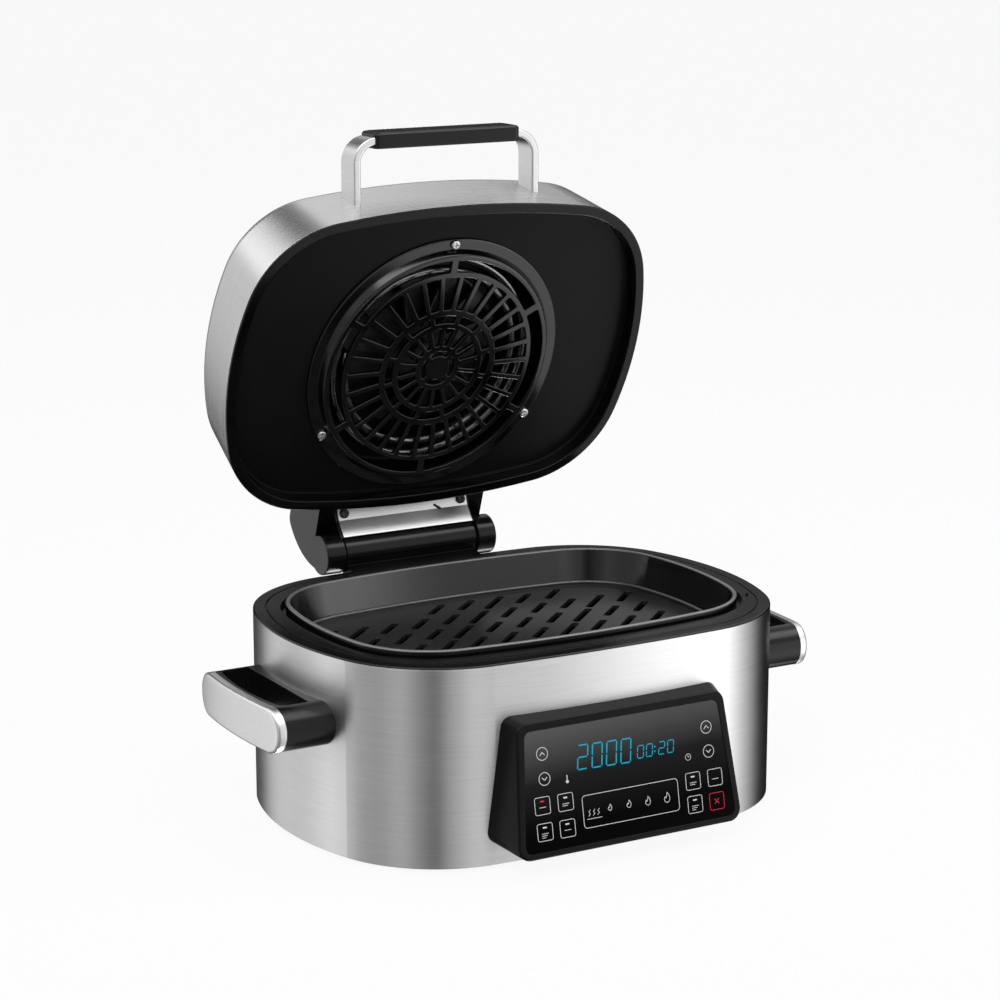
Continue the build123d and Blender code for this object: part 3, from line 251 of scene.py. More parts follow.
brushedSteels = {
    "body_steel": ("bodySteel", {
        "turn": 0.0, "axis": upAxis, "along": 30.0, "across": 2200.0,
        "dark": 0.49, "middle": 0.55, "light": 0.61,
        "roughness": (0.29, 0.37), "stretch": 0.65, "bump": 0.09, "edge": 0.0004}),
    "lid_steel": ("lidSteel", {
        "turn": lidTurn, "axis": lidAxis, "along": 30.0, "across": 2200.0,
        "dark": 0.52, "middle": 0.58, "light": 0.64,
        "roughness": (0.23, 0.31), "stretch": 0.75, "bump": 0.07, "edge": 0.0004}),
    "hinge_steel": ("strapSteel", {
        "turn": 0.0, "axis": upAxis, "along": 90.0, "across": 2400.0,
        "dark": 0.55, "middle": 0.6, "light": 0.66,
        "roughness": (0.26, 0.34), "stretch": 0.4, "bump": 0.04, "edge": 0.0003}),
    "trim_silver": ("trimSilver", {
        "turn": 0.0, "axis": upAxis, "along": 300.0, "across": 2600.0,
        "dark": 0.6, "middle": 0.66, "light": 0.72,
        "roughness": (0.3, 0.38), "stretch": 0.2, "bump": 0.03, "edge": 0.0006}),
}

# bare sheet, wire and turned metal
metalPattern = {
    "grainDetail": 4.0,
    "grainRoughness": 0.6,
    "stainScale": 30.0,
    "tonePlaces": (0.35, 0.65),
    "roughPlaces": (0.3, 0.7),
    "bump": 0.15,
    "bumpDepth": 0.0001,
    "edge": 0.0003,
}


def makePlainMetal(name, settings):
    material, tree, shader = newFinish(name)
    pattern = metalPattern
    points = objectPoints(tree)
    grain = addNoise(
        tree, points, settings["grain"], pattern["grainDetail"], pattern["grainRoughness"])
    stain = addNoise(tree, points, pattern["stainScale"])
    tones = (settings["dark"], settings["light"])
    paintRamp(tree, shader, "Base Color", stain, pattern["tonePlaces"], tones)
    paintRamp(tree, shader, "Roughness", grain, pattern["roughPlaces"], settings["roughness"])
    shader.inputs["Metallic"].default_value = 1.0
    paintRelief(tree, shader, grain, pattern["bump"], pattern["bumpDepth"], pattern["edge"])
    return material


plainMetals = {
    "screw_steel": ("zincScrew", {
        "grain": 1200.0, "dark": (0.5, 0.5, 0.51), "light": (0.75, 0.75, 0.76),
        "roughness": (0.18, 0.34)}),
    "liner_steel": ("plainSheet", {
        "grain": 500.0, "dark": (0.36, 0.36, 0.37), "light": (0.5, 0.5, 0.51),
        "roughness": (0.3, 0.45)}),
    "coil_steel": ("heatedSheath", {
        "grain": 700.0, "dark": (0.1, 0.1, 0.1), "light": (0.24, 0.24, 0.24),
        "roughness": (0.2, 0.3)}),
    "motor_steel": ("motorCan", {
        "grain": 600.0, "dark": (0.2, 0.21, 0.22), "light": (0.32, 0.33, 0.34),
        "roughness": (0.35, 0.5)}),
    "fan_aluminium": ("fanSheet", {
        "grain": 700.0, "dark": (0.03, 0.03, 0.03), "light": (0.08, 0.08, 0.08),
        "roughness": (0.3, 0.45)}),
    "screw_black": ("blackScrew", {
        "grain": 900.0, "dark": (0.03, 0.03, 0.03), "light": (0.07, 0.07, 0.07),
        "roughness": (0.3, 0.45)}),
}

# plastics, coatings, enamel, ceramic and rubber; a finish may name its own shine and edge
mouldedPattern = {
    "grainDetail": 3.0,
    "grainRoughness": 0.6,
    "patchScale": 22.0,
    "spread": 0.12,
    "places": (0.35, 0.65),
    "grainShare": 0.5,
    "bumpDepth": 0.0002,
    # where the painted rim highlight fades out, in widths below the upper edge
    "rimSheenPlaces": (0.5, 1.0),
    "shine": 0.5,
    "edge": 0.0006,
}


def makeMoulded(name, ownSettings):
    material, tree, shader = newFinish(name)
    settings = {**mouldedPattern, **ownSettings}
    points = objectPoints(tree)
    grain = addNoise(
        tree, points, settings["grain"], settings["grainDetail"], settings["grainRoughness"])
    patch = addNoise(tree, points, settings["patchScale"])
    tones = [shadeColour(settings["colour"], 1 + way * settings["spread"]) for way in (-1, 1)]
    colour = addRamp(tree, patch, list(zip(settings["places"], tones)))
    if "wearAndRimSheen" in settings:
        # painted highlight: the colour is paler along the upper edge of this piece, standing in for
        # the glint on its rim
        wearAndRimSheen = settings["wearAndRimSheen"]
        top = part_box(wearAndRimSheen["piece"])[1][2]
        parts = addNode(tree, "ShaderNodeSeparateXYZ")
        joinSockets(tree, points, parts.inputs[0])
        depth = addMath(tree, "SUBTRACT", top, parts.outputs["Z"])
        below = addMath(tree, "DIVIDE", depth, wearAndRimSheen["width"])
        blend = addNode(tree, "ShaderNodeMix", data_type="RGBA")
        paintedLightFade = addRamp(tree, below, list(zip(settings["rimSheenPlaces"], (1.0, 0.0))))
        joinSockets(tree, paintedLightFade, blend.inputs["Factor"])
        joinSockets(tree, colour, blend.inputs["A"])
        blend.inputs["B"].default_value = (*wearAndRimSheen["colour"], 1)
        colour = blend.outputs["Result"]
    joinSockets(tree, colour, shader.inputs["Base Color"])
    both = mixShares(tree, grain, patch, settings["grainShare"])
    paintRamp(tree, shader, "Roughness", both, settings["places"], settings["roughness"])
    shader.inputs["Specular IOR Level"].default_value = settings["shine"]
    paintRelief(tree, shader, grain, settings["bump"], settings["bumpDepth"], settings["edge"])
    return material


mouldedFinishes = {
    "body_black": ("blackPlastic", {
        "colour": (0.005, 0.005, 0.0052), "shine": 0.24, "roughness": (0.17, 0.25),
        "grain": 1500.0, "bump": 0.05}),
    "deck_black": ("deckPlastic", {
        "colour": (0.005, 0.005, 0.0052), "shine": 0.3, "roughness": (0.2, 0.28),
        "grain": 1300.0, "bump": 0.03, "edge": 0.0004}),
    "rim_black": ("rimSeal", {
        "colour": (0.002, 0.002, 0.002), "shine": 0.18, "roughness": (0.1, 0.15),
        "grain": 800.0, "bump": 0.02, "edge": 0.001}),
    "lid_liner_black": ("linerCoat", {
        "colour": (0.004, 0.004, 0.0042), "shine": 0.12, "roughness": (0.34, 0.44),
        "grain": 1900.0, "bump": 0.14, "edge": 0.0008}),
    "guard_black": ("guardEnamel", {
        "colour": (0.001, 0.001, 0.001), "roughness": (0.1, 0.15),
        "grain": 500.0, "bump": 0.02, "edge": 0.0009}),
    # the pot and plate coats carry a painted highlight, paler along their upper rim edge
    "nonstick_black": ("potCoat", {
        "colour": (0.005, 0.005, 0.0052), "shine": 0.55, "roughness": (0.12, 0.17),
        "grain": 1100.0, "bump": 0.02, "edge": 0.0003,
        "wearAndRimSheen": {"piece": "cooking_pot", "width": 0.0011, "colour": (0.2, 0.2, 0.2)}}),
    "nonstick_plate": ("plateCoat", {
        "colour": (0.018, 0.018, 0.0184), "shine": 0.55, "roughness": (0.26, 0.34),
        "grain": 1400.0, "bump": 0.06, "edge": 0.0003,
        "wearAndRimSheen": {"piece": "grill_plate", "width": 0.0009, "colour": (0.13, 0.13, 0.13)}}),
    "base_black": ("powderCoat", {
        "colour": (0.012, 0.012, 0.012), "shine": 0.3, "roughness": (0.45, 0.6),
        "grain": 900.0, "bump": 0.3}),
    "foot_rubber": ("footRubber", {
        "colour": (0.014, 0.014, 0.014), "roughness": (0.6, 0.75),
        "grain": 1000.0, "bump": 0.25}),
    "gland_rubber": ("glandRubber", {
        "colour": (0.016, 0.016, 0.016), "roughness": (0.5, 0.65),
        "grain": 1000.0, "bump": 0.2}),
    "component_black": ("componentCase", {
        "colour": (0.02, 0.02, 0.024), "roughness": (0.3, 0.45),
        "grain": 900.0, "bump": 0.1}),
    "board_green": ("boardMask", {
        "colour": (0.012, 0.09, 0.035), "roughness": (0.25, 0.4),
        "grain": 700.0, "bump": 0.08}),
    "guide_white": ("lightGuide", {
        "colour": (0.7, 0.7, 0.69), "roughness": (0.35, 0.5),
        "grain": 700.0, "bump": 0.05}),
    "ceramic_white": ("bushCeramic", {
        "colour": (0.62, 0.6, 0.55), "roughness": (0.5, 0.7),
        "grain": 1200.0, "bump": 0.2}),
    "washer_nylon": ("washerNylon", {
        "colour": (0.55, 0.54, 0.5), "roughness": (0.4, 0.5),
        "grain": 900.0, "bump": 0.05}),
}

# tinted glass whose colour fades from grey at its upper edge to black: the grey is a painted
# reflection over the black tint
glassSettings = {
    "top": (0.12, 0.12, 0.12),
    "middle": (0.016, 0.016, 0.016),
    "bottom": (0.0015, 0.0015, 0.0015),
    "places": (0.15, 0.55, 1.0),
    "lean": 0.12,  # how much lower the painted reflection sits at the right end
    "smudgeScale": 40.0,
    "smudgeDetail": 4.0,
    "smudgeShare": 0.04,
    "roughPlaces": (0.3, 0.7),
    "roughness": (0.05, 0.11),
    "shine": 0.02,
    "bump": 0.02,
    "bumpDepth": 0.0002,
    "edge": 0.0004,
}


def makeTintedGlassWithPaintedReflection(name, settings):
    material, tree, shader = newFinish(name)
    low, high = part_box("control_glass")
    points = objectPoints(tree)
    parts = addNode(tree, "ShaderNodeSeparateXYZ")
    joinSockets(tree, points, parts.inputs[0])

    def shareAlong(axis, index):
        offset = addMath(tree, "SUBTRACT", parts.outputs[axis], low[index])
        return addMath(tree, "DIVIDE", offset, high[index] - low[index])

    # painted reflection: the colour is grey at the upper edge and fades to black, a little lower
    # towards the right end
    leaning = addMath(tree, "MULTIPLY", shareAlong("X", 0), settings["lean"])
    paintedLightFade = addMath(tree, "SUBTRACT", shareAlong("Z", 2), leaning)
    smudge = addNoise(tree, points, settings["smudgeScale"], settings["smudgeDetail"])
    centred = addMath(tree, "SUBTRACT", smudge, 0.5)
    uneven = addMath(tree, "MULTIPLY", centred, settings["smudgeShare"])
    paintedLightFade = addMath(tree, "ADD", paintedLightFade, uneven)
    tones = (settings["bottom"], settings["middle"], settings["top"])
    paintRamp(tree, shader, "Base Color", paintedLightFade, settings["places"], tones)
    paintRamp(tree, shader, "Roughness", smudge, settings["roughPlaces"], settings["roughness"])
    shader.inputs["Specular IOR Level"].default_value = settings["shine"]
    paintRelief(tree, shader, smudge, settings["bump"], settings["bumpDepth"], settings["edge"])
    return material


finishes = {}
for makeFinish, table in (
    (makeBrushedSteel, brushedSteels), (makePlainMetal, plainMetals), (makeMoulded, mouldedFinishes),
):
    for slot, (name, values) in table.items():
        finishes[slot] = makeFinish(name, values)
finishes["panel_glass"] = makeTintedGlassWithPaintedReflection("tintedGlassPaintedReflection", glassSettings)

# two pieces look different from the others of their slot
nodeFinishes = {
    # painted shade: the heat chamber sheet is coloured near black, standing in for the shade behind
    # the guard
    "heat_chamber": makeMoulded("shadedChamberBlack", {
        "colour": (0.003, 0.003, 0.003), "shine": 0.25, "roughness": (0.35, 0.5),
        "grain": 400.0, "bump": 0.1}),
    "control_housing": makeMoulded("housingPlastic", {
        "colour": (0.004, 0.004, 0.0042), "shine": 0.1, "roughness": (0.2, 0.28),
        "grain": 1500.0, "bump": 0.05, "edge": 0.0008}),
}
for part in frame["record"]["subparts"]:
    finish = nodeFinishes.get(part["node"], finishes[part["material_slot"]])
    mesh = nodes[part["node"]].data
    mesh.materials.clear()
    mesh.materials.append(finish)
print("stage: finishes on the construction")


# lit and printed marks on the glass
inkPattern = {
    "speckScale": 900.0,
    "speckDetail": 2.0,
    # the darker tone of the ink specks, as a share of the ink colour
    "wearAndRimSheen": 0.85,
    "tonePlaces": (0.3, 0.6),
    "roughPlaces": (0.3, 0.7),
    "roughness": (0.35, 0.5),
    "shine": 0.1,
}


def makeInk(name, settings):
    material, tree, shader = newFinish(name)
    pattern = inkPattern
    speck = addNoise(tree, objectPoints(tree), pattern["speckScale"], pattern["speckDetail"])
    tones = (shadeColour(settings["colour"], pattern["wearAndRimSheen"]), settings["colour"])
    paintRamp(tree, shader, "Base Color", speck, pattern["tonePlaces"], tones)
    paintRamp(tree, shader, "Roughness", speck, pattern["roughPlaces"], pattern["roughness"])
    setInputs(shader, {
        "Emission Color": (*settings["colour"], 1),
        "Emission Strength": settings["glow"],
        "Specular IOR Level": pattern["shine"],
    })
    return material


# the marks are flat strokes, in millimetres along and up the glass
panelSettings = {
    "tilt": 10.8,
    "centre": (0.0, -149.5, 55.6),
    "sink": 0.3,
    "lift": 0.06,
    "stroke": 0.46,
    "overrun": 0.42,  # how far a stroke runs past its ends, as a share of its width
    "cornerSteps": 4,
    "circleSteps": 28,
}
tilt = radians(panelSettings["tilt"])
glassNormal = Vector((0, -cos(tilt), sin(tilt)))
glassUp = Vector((0, sin(tilt), cos(tilt)))
glassOrigin = Vector(panelSettings["centre"]) - glassNormal * panelSettings["sink"]


def glassPoint(x, y, height):
    return (glassOrigin + Vector((x, 0, 0)) + glassUp * y + glassNormal * height) / 1000


def addPlate(shape, outline):
    # a thin plate with a closed outline, open towards the glass
    top = [shape.verts.new(glassPoint(x, y, panelSettings["lift"])) for x, y in outline]
    low = [shape.verts.new(glassPoint(x, y, 0.0)) for x, y in outline]
    shape.faces.new(top)
    for index in range(len(outline)):
        after = (index + 1) % len(outline)
        shape.faces.new((top[after], top[index], low[index], low[after]))


def addStroke(shape, points, width, closed=False):
    count = len(points)
    for index in range(count if closed else count - 1):
        start, end = Vector(points[index]), Vector(points[(index + 1) % count])
        along = (end - start).normalized() * width * panelSettings["overrun"]
        side = Vector((-along.y, along.x)).normalized() * width / 2
        corners = (start - along + side, start - along - side,
                   end + along - side, end + along + side)
        addPlate(shape, [(corner.x, corner.y) for corner in corners])


def roundedBox(x, y, halfX, halfY, radius):
    points = []
    steps = panelSettings["cornerSteps"]
    for quarter, (sideX, sideY) in enumerate(((1, 1), (-1, 1), (-1, -1), (1, -1))):
        middleX, middleY = x + sideX * (halfX - radius), y + sideY * (halfY - radius)
        for step in range(steps + 1):
            angle = pi / 2 * (quarter + step / steps)
            points.append((middleX + radius * cos(angle), middleY + radius * sin(angle)))
    return points


def circlePoints(x, y, radius, count=panelSettings["circleSteps"]):
    angles = [2 * pi * step / count for step in range(count)]
    return [(x + radius * cos(angle), y + radius * sin(angle)) for angle in angles]


def finishMesh(name, shape, material, body):
    bmesh.ops.recalc_face_normals(shape, faces=shape.faces)
    mesh = bpy.data.meshes.new(name)
    shape.to_mesh(mesh)
    shape.free()
    mesh.materials.append(material)
    piece = bpy.data.objects.new(name, mesh)
    bpy.context.scene.collection.objects.link(piece)
    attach(piece, body)
    return piece


# the display's plain numbers
digitSettings = {
    "ink": {"colour": (0.0, 0.29, 0.41), "glow": 0.55},
    "slant": 0.13,
    "gap": 1.05,  # between two bars, as a share of their thickness
    "large": {
        "text": "2000", "x": -37.0, "y": 9.4, "width": 7.4, "height": 15.4,
        "pitch": 10.9, "thickness": 0.85, "drop": 0.035, "colonRoom": 0.0,
    },
    "small": {
        "text": "0020", "x": 8.6, "y": 9.6, "width": 4.6, "height": 8.0,
        "pitch": 6.9, "thickness": 0.62, "drop": 0.0, "colonRoom": 2.6,
    },
    "colon": {"x": 22.0, "rises": (2.6, 5.6), "half": 0.5, "corner": 0.3},
}
litBars = {"0": "abcdef", "2": "abged"}


def addDigit(shape, x, y, values, lit):
    # seven straight bars: top, middle, bottom, then upper and lower uprights
    width, height = values["width"], values["height"]
    half, gap = height / 2, values["thickness"] * digitSettings["gap"]
    bars = {
        "a": ((gap, height), (width - gap, height)),
        "g": ((gap, half), (width - gap, half)),
        "d": ((gap, 0), (width - gap, 0)),
        "f": ((0, half + gap), (0, height - gap)),
        "b": ((width, half + gap), (width, height - gap)),
        "e": ((0, gap), (0, half - gap)),
        "c": ((width, gap), (width, half - gap)),
    }
    for name in lit:
        ends = [(x + px + digitSettings["slant"] * py, y + py) for px, py in bars[name]]
        addStroke(shape, ends, values["thickness"])


def makeDigits(settings):
    shape = bmesh.new()
    for group in ("large", "small"):
        values = settings[group]
        for index, character in enumerate(values["text"]):
            room = values["colonRoom"] if index > 1 else 0.0
            x = values["x"] + index * values["pitch"] + room
            y = values["y"] - values["drop"] * (x - values["x"])
            addDigit(shape, x, y, values, litBars[character])
    colon = settings["colon"]
    for rise in colon["rises"]:
        x, y = colon["x"] + settings["slant"] * rise, settings["small"]["y"] + rise
        addPlate(shape, roundedBox(x, y, colon["half"], colon["half"], colon["corner"]))
    finishMesh("displayDigits", shape, makeInk("litCyan", settings["ink"]), "base")


makeDigits(digitSettings)

# key frames and plain symbols; every small form is given from its own middle
markSettings = {
    "whiteInk": {"colour": (0.6, 0.6, 0.6), "glow": 0.3},
    "redInk": {"colour": (0.6, 0.02, 0.04), "glow": 0.4},
    "weights": {
        "ring": 1.0, "arrow": 1.1, "frame": 0.85, "fine": 0.8, "stem": 1.4, "clock": 0.7, "cross": 1.0,
    },
    "arrows": ((-62.0, 23.7, 1), (-61.9, 7.5, -1), (63.5, 21.9, 1), (63.8, 5.8, -1)),
    "arrow": ((-1.7, -0.8), (0, 0.9), (1.7, -0.8)),
    "arrowRing": 4.1,
    "keys": (
        (-65.2, -9.4), (-48.0, -9.7), (-65.0, -26.4), (-48.2, -26.8),
        (49.7, -11.9), (49.8, -27.4), (67.0, -12.1),
    ),
    "keyFrame": (5.6, 5.6, 1.4),
    "keyLamp": {"rise": 2.9, "plate": (1.5, 0.5, 0.35), "leftOut": (0, 6)},
    "keyLines": {"half": 2.4, "shorter": 1.1, "first": 1.0, "pitch": 1.3, "most": 3},
    "redKey": (66.9, -28.0),
    "cross": (((-1.6, -1.6), (1.6, 1.6)), ((-1.6, 1.6), (1.6, -1.6))),
    "heatBox": (0.9, -18.6, 36.6, 10.6, 2.4),
    "heatLine": ((-33.0, -23.6), (-22.0, -23.6)),
    "steam": {"spot": (-31.0, -19.7), "pitch": 3.4, "count": 3},
    "steamWave": ((-0.7, -1.9), (0.5, -0.7), (-0.5, 0.7), (0.7, 1.9)),
    "flames": ((-15.4, -18.4, 0.75), (-0.9, -18.5, 0.9), (13.7, -18.9, 1.05), (28.5, -19.1, 1.2)),
    "flame": (
        (0, -3), (-1.5, -2.2), (-1.9, -0.8), (-1.1, 0.5), (-0.9, -0.5),
        (-0.2, 0.3), (0.2, 2.6), (1.2, 1.2), (1.8, -0.6), (1.3, -2.3),
    ),
    "thermometer": {"spot": (-45.3, 3.2), "stem": ((0, 0.4), (0, 4.0)), "bulb": 1.1, "steps": 16},
    "clock": {"spot": (47.5, 4.4), "hands": ((0, 1.3), (0, 0), (0.9, 0)), "ring": 2.1, "steps": 20},
}


def drawMark(shape, weight, points, spot=(0, 0), size=1, way=1, closed=False):
    width = panelSettings["stroke"] * markSettings["weights"][weight]
    ends = [(spot[0] + x * size, spot[1] + y * size * way) for x, y in points]
    addStroke(shape, ends, width, closed)


def drawKeyLamp(shape, settings, x, y):
    addPlate(shape, roundedBox(x, y + settings["keyLamp"]["rise"], *settings["keyLamp"]["plate"]))


def makePrintedMarks(settings):
    shape = bmesh.new()
    for x, y, way in settings["arrows"]:
        drawMark(shape, "ring", circlePoints(x, y, settings["arrowRing"]), closed=True)
        drawMark(shape, "arrow", settings["arrow"], (x, y), way=way)
    lines = settings["keyLines"]
    for index, (x, y) in enumerate(settings["keys"]):
        drawMark(shape, "frame", roundedBox(x, y, *settings["keyFrame"]), closed=True)
        if index not in settings["keyLamp"]["leftOut"]:
            drawKeyLamp(shape, settings, x, y)
        # a small pictogram in place of a word: one to three short lines
        for line in range(1 + index % lines["most"]):
            drop = -lines["first"] - lines["pitch"] * line
            ends = ((-lines["half"], drop), (lines["half"] - lines["shorter"] * line, drop))
            drawMark(shape, "fine", ends, (x, y))
    drawMark(shape, "frame", roundedBox(*settings["heatBox"]), closed=True)
    drawMark(shape, "fine", settings["heatLine"])
    steam = settings["steam"]
    for step in range(steam["count"]):
        spot = (steam["spot"][0] + steam["pitch"] * step, steam["spot"][1])
        drawMark(shape, "fine", settings["steamWave"], spot)
    for x, y, size in settings["flames"]:
        drawMark(shape, "fine", settings["flame"], (x, y), size, closed=True)
    thermometer, clock = settings["thermometer"], settings["clock"]
    drawMark(shape, "stem", thermometer["stem"], thermometer["spot"])
    bulb = circlePoints(*thermometer["spot"], thermometer["bulb"], thermometer["steps"])
    addPlate(shape, bulb)
    ring = circlePoints(*clock["spot"], clock["ring"], clock["steps"])
    drawMark(shape, "clock", ring, closed=True)
    drawMark(shape, "clock", clock["hands"], clock["spot"])
    ink = makeInk("printedWhite", settings["whiteInk"])
    finishMesh("printedMarks", shape, ink, "base")


def makeRedMarks(settings):
    # the frame and cross of the red key, and the lamp of the first key
    shape = bmesh.new()
    drawMark(shape, "frame", roundedBox(*settings["redKey"], *settings["keyFrame"]), closed=True)
    for ends in settings["cross"]:
        drawMark(shape, "cross", ends, settings["redKey"])
    drawKeyLamp(shape, settings, *settings["keys"][0])
    ink = makeInk("printedRed", settings["redInk"])
    finishMesh("redMarks", shape, ink, "base")


makePrintedMarks(markSettings)
makeRedMarks(markSettings)
print("stage: display marks")


# satin covers on the side handles: a bowed stadium with a rounded outer edge
trimSettings = {
    "endRadius": 0.0145,
    "edgeRadius": 0.0024,
    "bow": 0.0045,
    "oversize": 0.00015,
    "endSteps": 10,
    "sideSteps": 28,
    "edgeSteps": 6,
    "faceInsets": (0.005, 0.009, 0.0125, 0.0144),
}


def stadiumRing(settings, halfLength, halfHeight, inset):
    # points of the outline, pulled in by inset, from the far end round and back
    radius = settings["endRadius"] + settings["oversize"] - inset
    middleY, middleZ = halfLength - settings["endRadius"], halfHeight - settings["endRadius"]
    steps, sides = settings["endSteps"], settings["sideSteps"]
    quarter = [pi / 2 * step / steps for step in range(steps + 1)]
    upper = [(middleY + radius * cos(angle), middleZ + radius * sin(angle)) for angle in quarter]
    upper += [(middleY * (1 - 2 * step / sides), middleZ + radius) for step in range(1, sides)]
    upper += [(-y, z) for y, z in reversed(upper[:len(quarter)])]
    return upper + [(y, -z) for y, z in reversed(upper)]


def makeTrim(settings, node, side):
    low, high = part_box(node)
    halfLength, halfHeight = (high[1] - low[1]) / 2, (high[2] - low[2]) / 2
    middleZ = (high[2] + low[2]) / 2
    front = high[0] if side > 0 else -low[0]
    depth = high[0] - low[0] - settings["bow"]
    edge = settings["edgeRadius"]
    rings = [(0.0, -depth), (0.0, -edge)]
    for step in range(1, settings["edgeSteps"] + 1):
        angle = pi / 2 * step / settings["edgeSteps"]
        rings.append((edge * (1 - cos(angle)), -edge * (1 - sin(angle))))
    rings += [(inset, 0.0) for inset in settings["faceInsets"]]
    shape = bmesh.new()
    rows = []
    for inset, sink in rings:
        row = []
        for y, z in stadiumRing(settings, halfLength, halfHeight, inset):
            x = front + sink - settings["bow"] * (y / halfLength) ** 2
            row.append(shape.verts.new((side * x, y, middleZ + z)))
        rows.append(row)
    count = len(rows[0])
    for first, second in zip(rows, rows[1:]):
        for index in range(count):
            after = (index + 1) % count
            shape.faces.new((first[index], first[after], second[after], second[index]))
    # the back and the front are closed by strips from the upper to the lower side
    for row in (rows[0], rows[-1]):
        for index in range(count // 2 - 1):
            across = count - 1 - index
            shape.faces.new((row[index], row[index + 1], row[across - 1], row[across]))
    for face in shape.faces:
        face.smooth = True
    for index in range(count):
        shape.edges.get((rows[0][index], rows[0][(index + 1) % count])).smooth = False
    piece = finishMesh(node + "Cover", shape, finishes["trim_silver"], "base")
    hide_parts(node)


makeTrim(trimSettings, "left_handle_trim", -1)
makeTrim(trimSettings, "right_handle_trim", 1)
print("stage: handle trims")


# rows of low pads on the handle grip, made with geometry nodes
gripSettings = {
    "columns": 30,
    "rows": 5,
    "padSize": (0.0026, 0.0026, 0.0008),
    "margin": (0.006, 0.0042),
    "sunk": 0.0001,
}


def buildPadTree(material):
    tree = bpy.data.node_groups.new("gripPads", "GeometryNodeTree")
    tree.interface.new_socket("Geometry", in_out="INPUT", socket_type="NodeSocketGeometry")
    tree.interface.new_socket("Geometry", in_out="OUTPUT", socket_type="NodeSocketGeometry")
    sockets = {}
    for name, kind in (
        ("Length", "NodeSocketFloat"), ("Width", "NodeSocketFloat"), ("Columns", "NodeSocketInt"),
        ("Rows", "NodeSocketInt"), ("Pad Size", "NodeSocketVector"), ("Centre", "NodeSocketVector"),
    ):
        socket = tree.interface.new_socket(name, in_out="INPUT", socket_type=kind)
        sockets[name] = socket.identifier
    start, end = addNode(tree, "NodeGroupInput"), addNode(tree, "NodeGroupOutput")
    grid = addNode(tree, "GeometryNodeMeshGrid")
    cube = addNode(tree, "GeometryNodeMeshCube")
    scatter = addNode(tree, "GeometryNodeInstanceOnPoints")
    move = addNode(tree, "GeometryNodeTransform")
    realize = addNode(tree, "GeometryNodeRealizeInstances")
    paint = addNode(tree, "GeometryNodeSetMaterial")
    paint.inputs["Material"].default_value = material
    for source, output, target, entry in (
        (start, "Length", grid, "Size X"),
        (start, "Width", grid, "Size Y"),
        (start, "Columns", grid, "Vertices X"),
        (start, "Rows", grid, "Vertices Y"),
        (start, "Pad Size", cube, "Size"),
        (grid, "Mesh", scatter, "Points"),
        (cube, "Mesh", scatter, "Instance"),
        (scatter, "Instances", move, "Geometry"),
        (start, "Centre", move, "Translation"),
        (move, "Geometry", realize, "Geometry"),
        (realize, "Geometry", paint, "Geometry"),
        (paint, "Geometry", end, "Geometry"),
    ):
        joinSockets(tree, source.outputs[output], target.inputs[entry])
    return tree, sockets


def makeGripPads(settings):
    low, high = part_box("lid_handle_grip")
    tree, sockets = buildPadTree(finishes["body_black"])
    holder = bpy.data.objects.new("gripPadMaker", bpy.data.meshes.new("gripPadMaker"))
    bpy.context.scene.collection.objects.link(holder)
    modifier = holder.modifiers.new("pads", "NODES")
    modifier.node_group = tree
    marginX, marginY = settings["margin"]
    middleX, middleY = (low[0] + high[0]) / 2, (low[1] + high[1]) / 2
    values = {
        "Length": high[0] - low[0] - 2 * marginX,
        "Width": high[1] - low[1] - 2 * marginY,
        "Columns": settings["columns"],
        "Rows": settings["rows"],
        "Pad Size": settings["padSize"],
        "Centre": (middleX, middleY, high[2] - settings["sunk"]),
    }
    for name, value in values.items():
        modifier[sockets[name]] = value
    evaluated = holder.evaluated_get(bpy.context.evaluated_depsgraph_get())
    mesh = bpy.data.meshes.new_from_object(evaluated)
    bpy.data.objects.remove(holder)
    mesh.name = "gripPads"
    piece = bpy.data.objects.new("gripPads", mesh)
    bpy.context.scene.collection.objects.link(piece)
    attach(piece, "lid")


makeGripPads(gripSettings)
print("stage: grip pads")


# floor, studio surroundings and lamps
floorSettings = {
    "radius": 30.0,
    "segments": 96,
    "colour": 0.82,
    "mottle": 0.99,
    "cloudScale": 3.0,
    "cloudDetail": 2.0,
    "cloudPlaces": (0.3, 0.7),
    "roughness": 0.8,
    "shine": 0.1,
    "lift": 0.93,  # how far the camera sees it nearer to white
}


def makeFloor(settings):
    shape = bmesh.new()
    bmesh.ops.create_circle(
        shape, cap_ends=True, radius=settings["radius"], segments=settings["segments"])
    mesh = bpy.data.meshes.new("floor")
    shape.to_mesh(mesh)
    shape.free()
    floor = bpy.data.objects.new("floor", mesh)
    bpy.context.scene.collection.objects.link(floor)
    material, tree, shader = newFinish("paleFloor")
    cloud = addNoise(tree, objectPoints(tree), settings["cloudScale"], settings["cloudDetail"])
    tones = (settings["colour"] * settings["mottle"], settings["colour"])
    paintRamp(tree, shader, "Base Color", cloud, settings["cloudPlaces"], tones)
    setInputs(shader, {"Roughness": settings["roughness"], "Specular IOR Level": settings["shine"]})
    glow = addNode(tree, "ShaderNodeEmission")
    path = addNode(tree, "ShaderNodeLightPath")
    blend = addNode(tree, "ShaderNodeMixShader")
    seen = addMath(tree, "MULTIPLY", path.outputs["Is Camera Ray"], settings["lift"])
    joinSockets(tree, seen, blend.inputs["Fac"])
    joinSockets(tree, shader.outputs["BSDF"], blend.inputs[1])
    joinSockets(tree, glow.outputs["Emission"], blend.inputs[2])
    joinSockets(tree, blend.outputs["Shader"], tree.nodes["Material Output"].inputs["Surface"])
    mesh.materials.append(material)
    floor.visible_glossy = False


makeFloor(floorSettings)

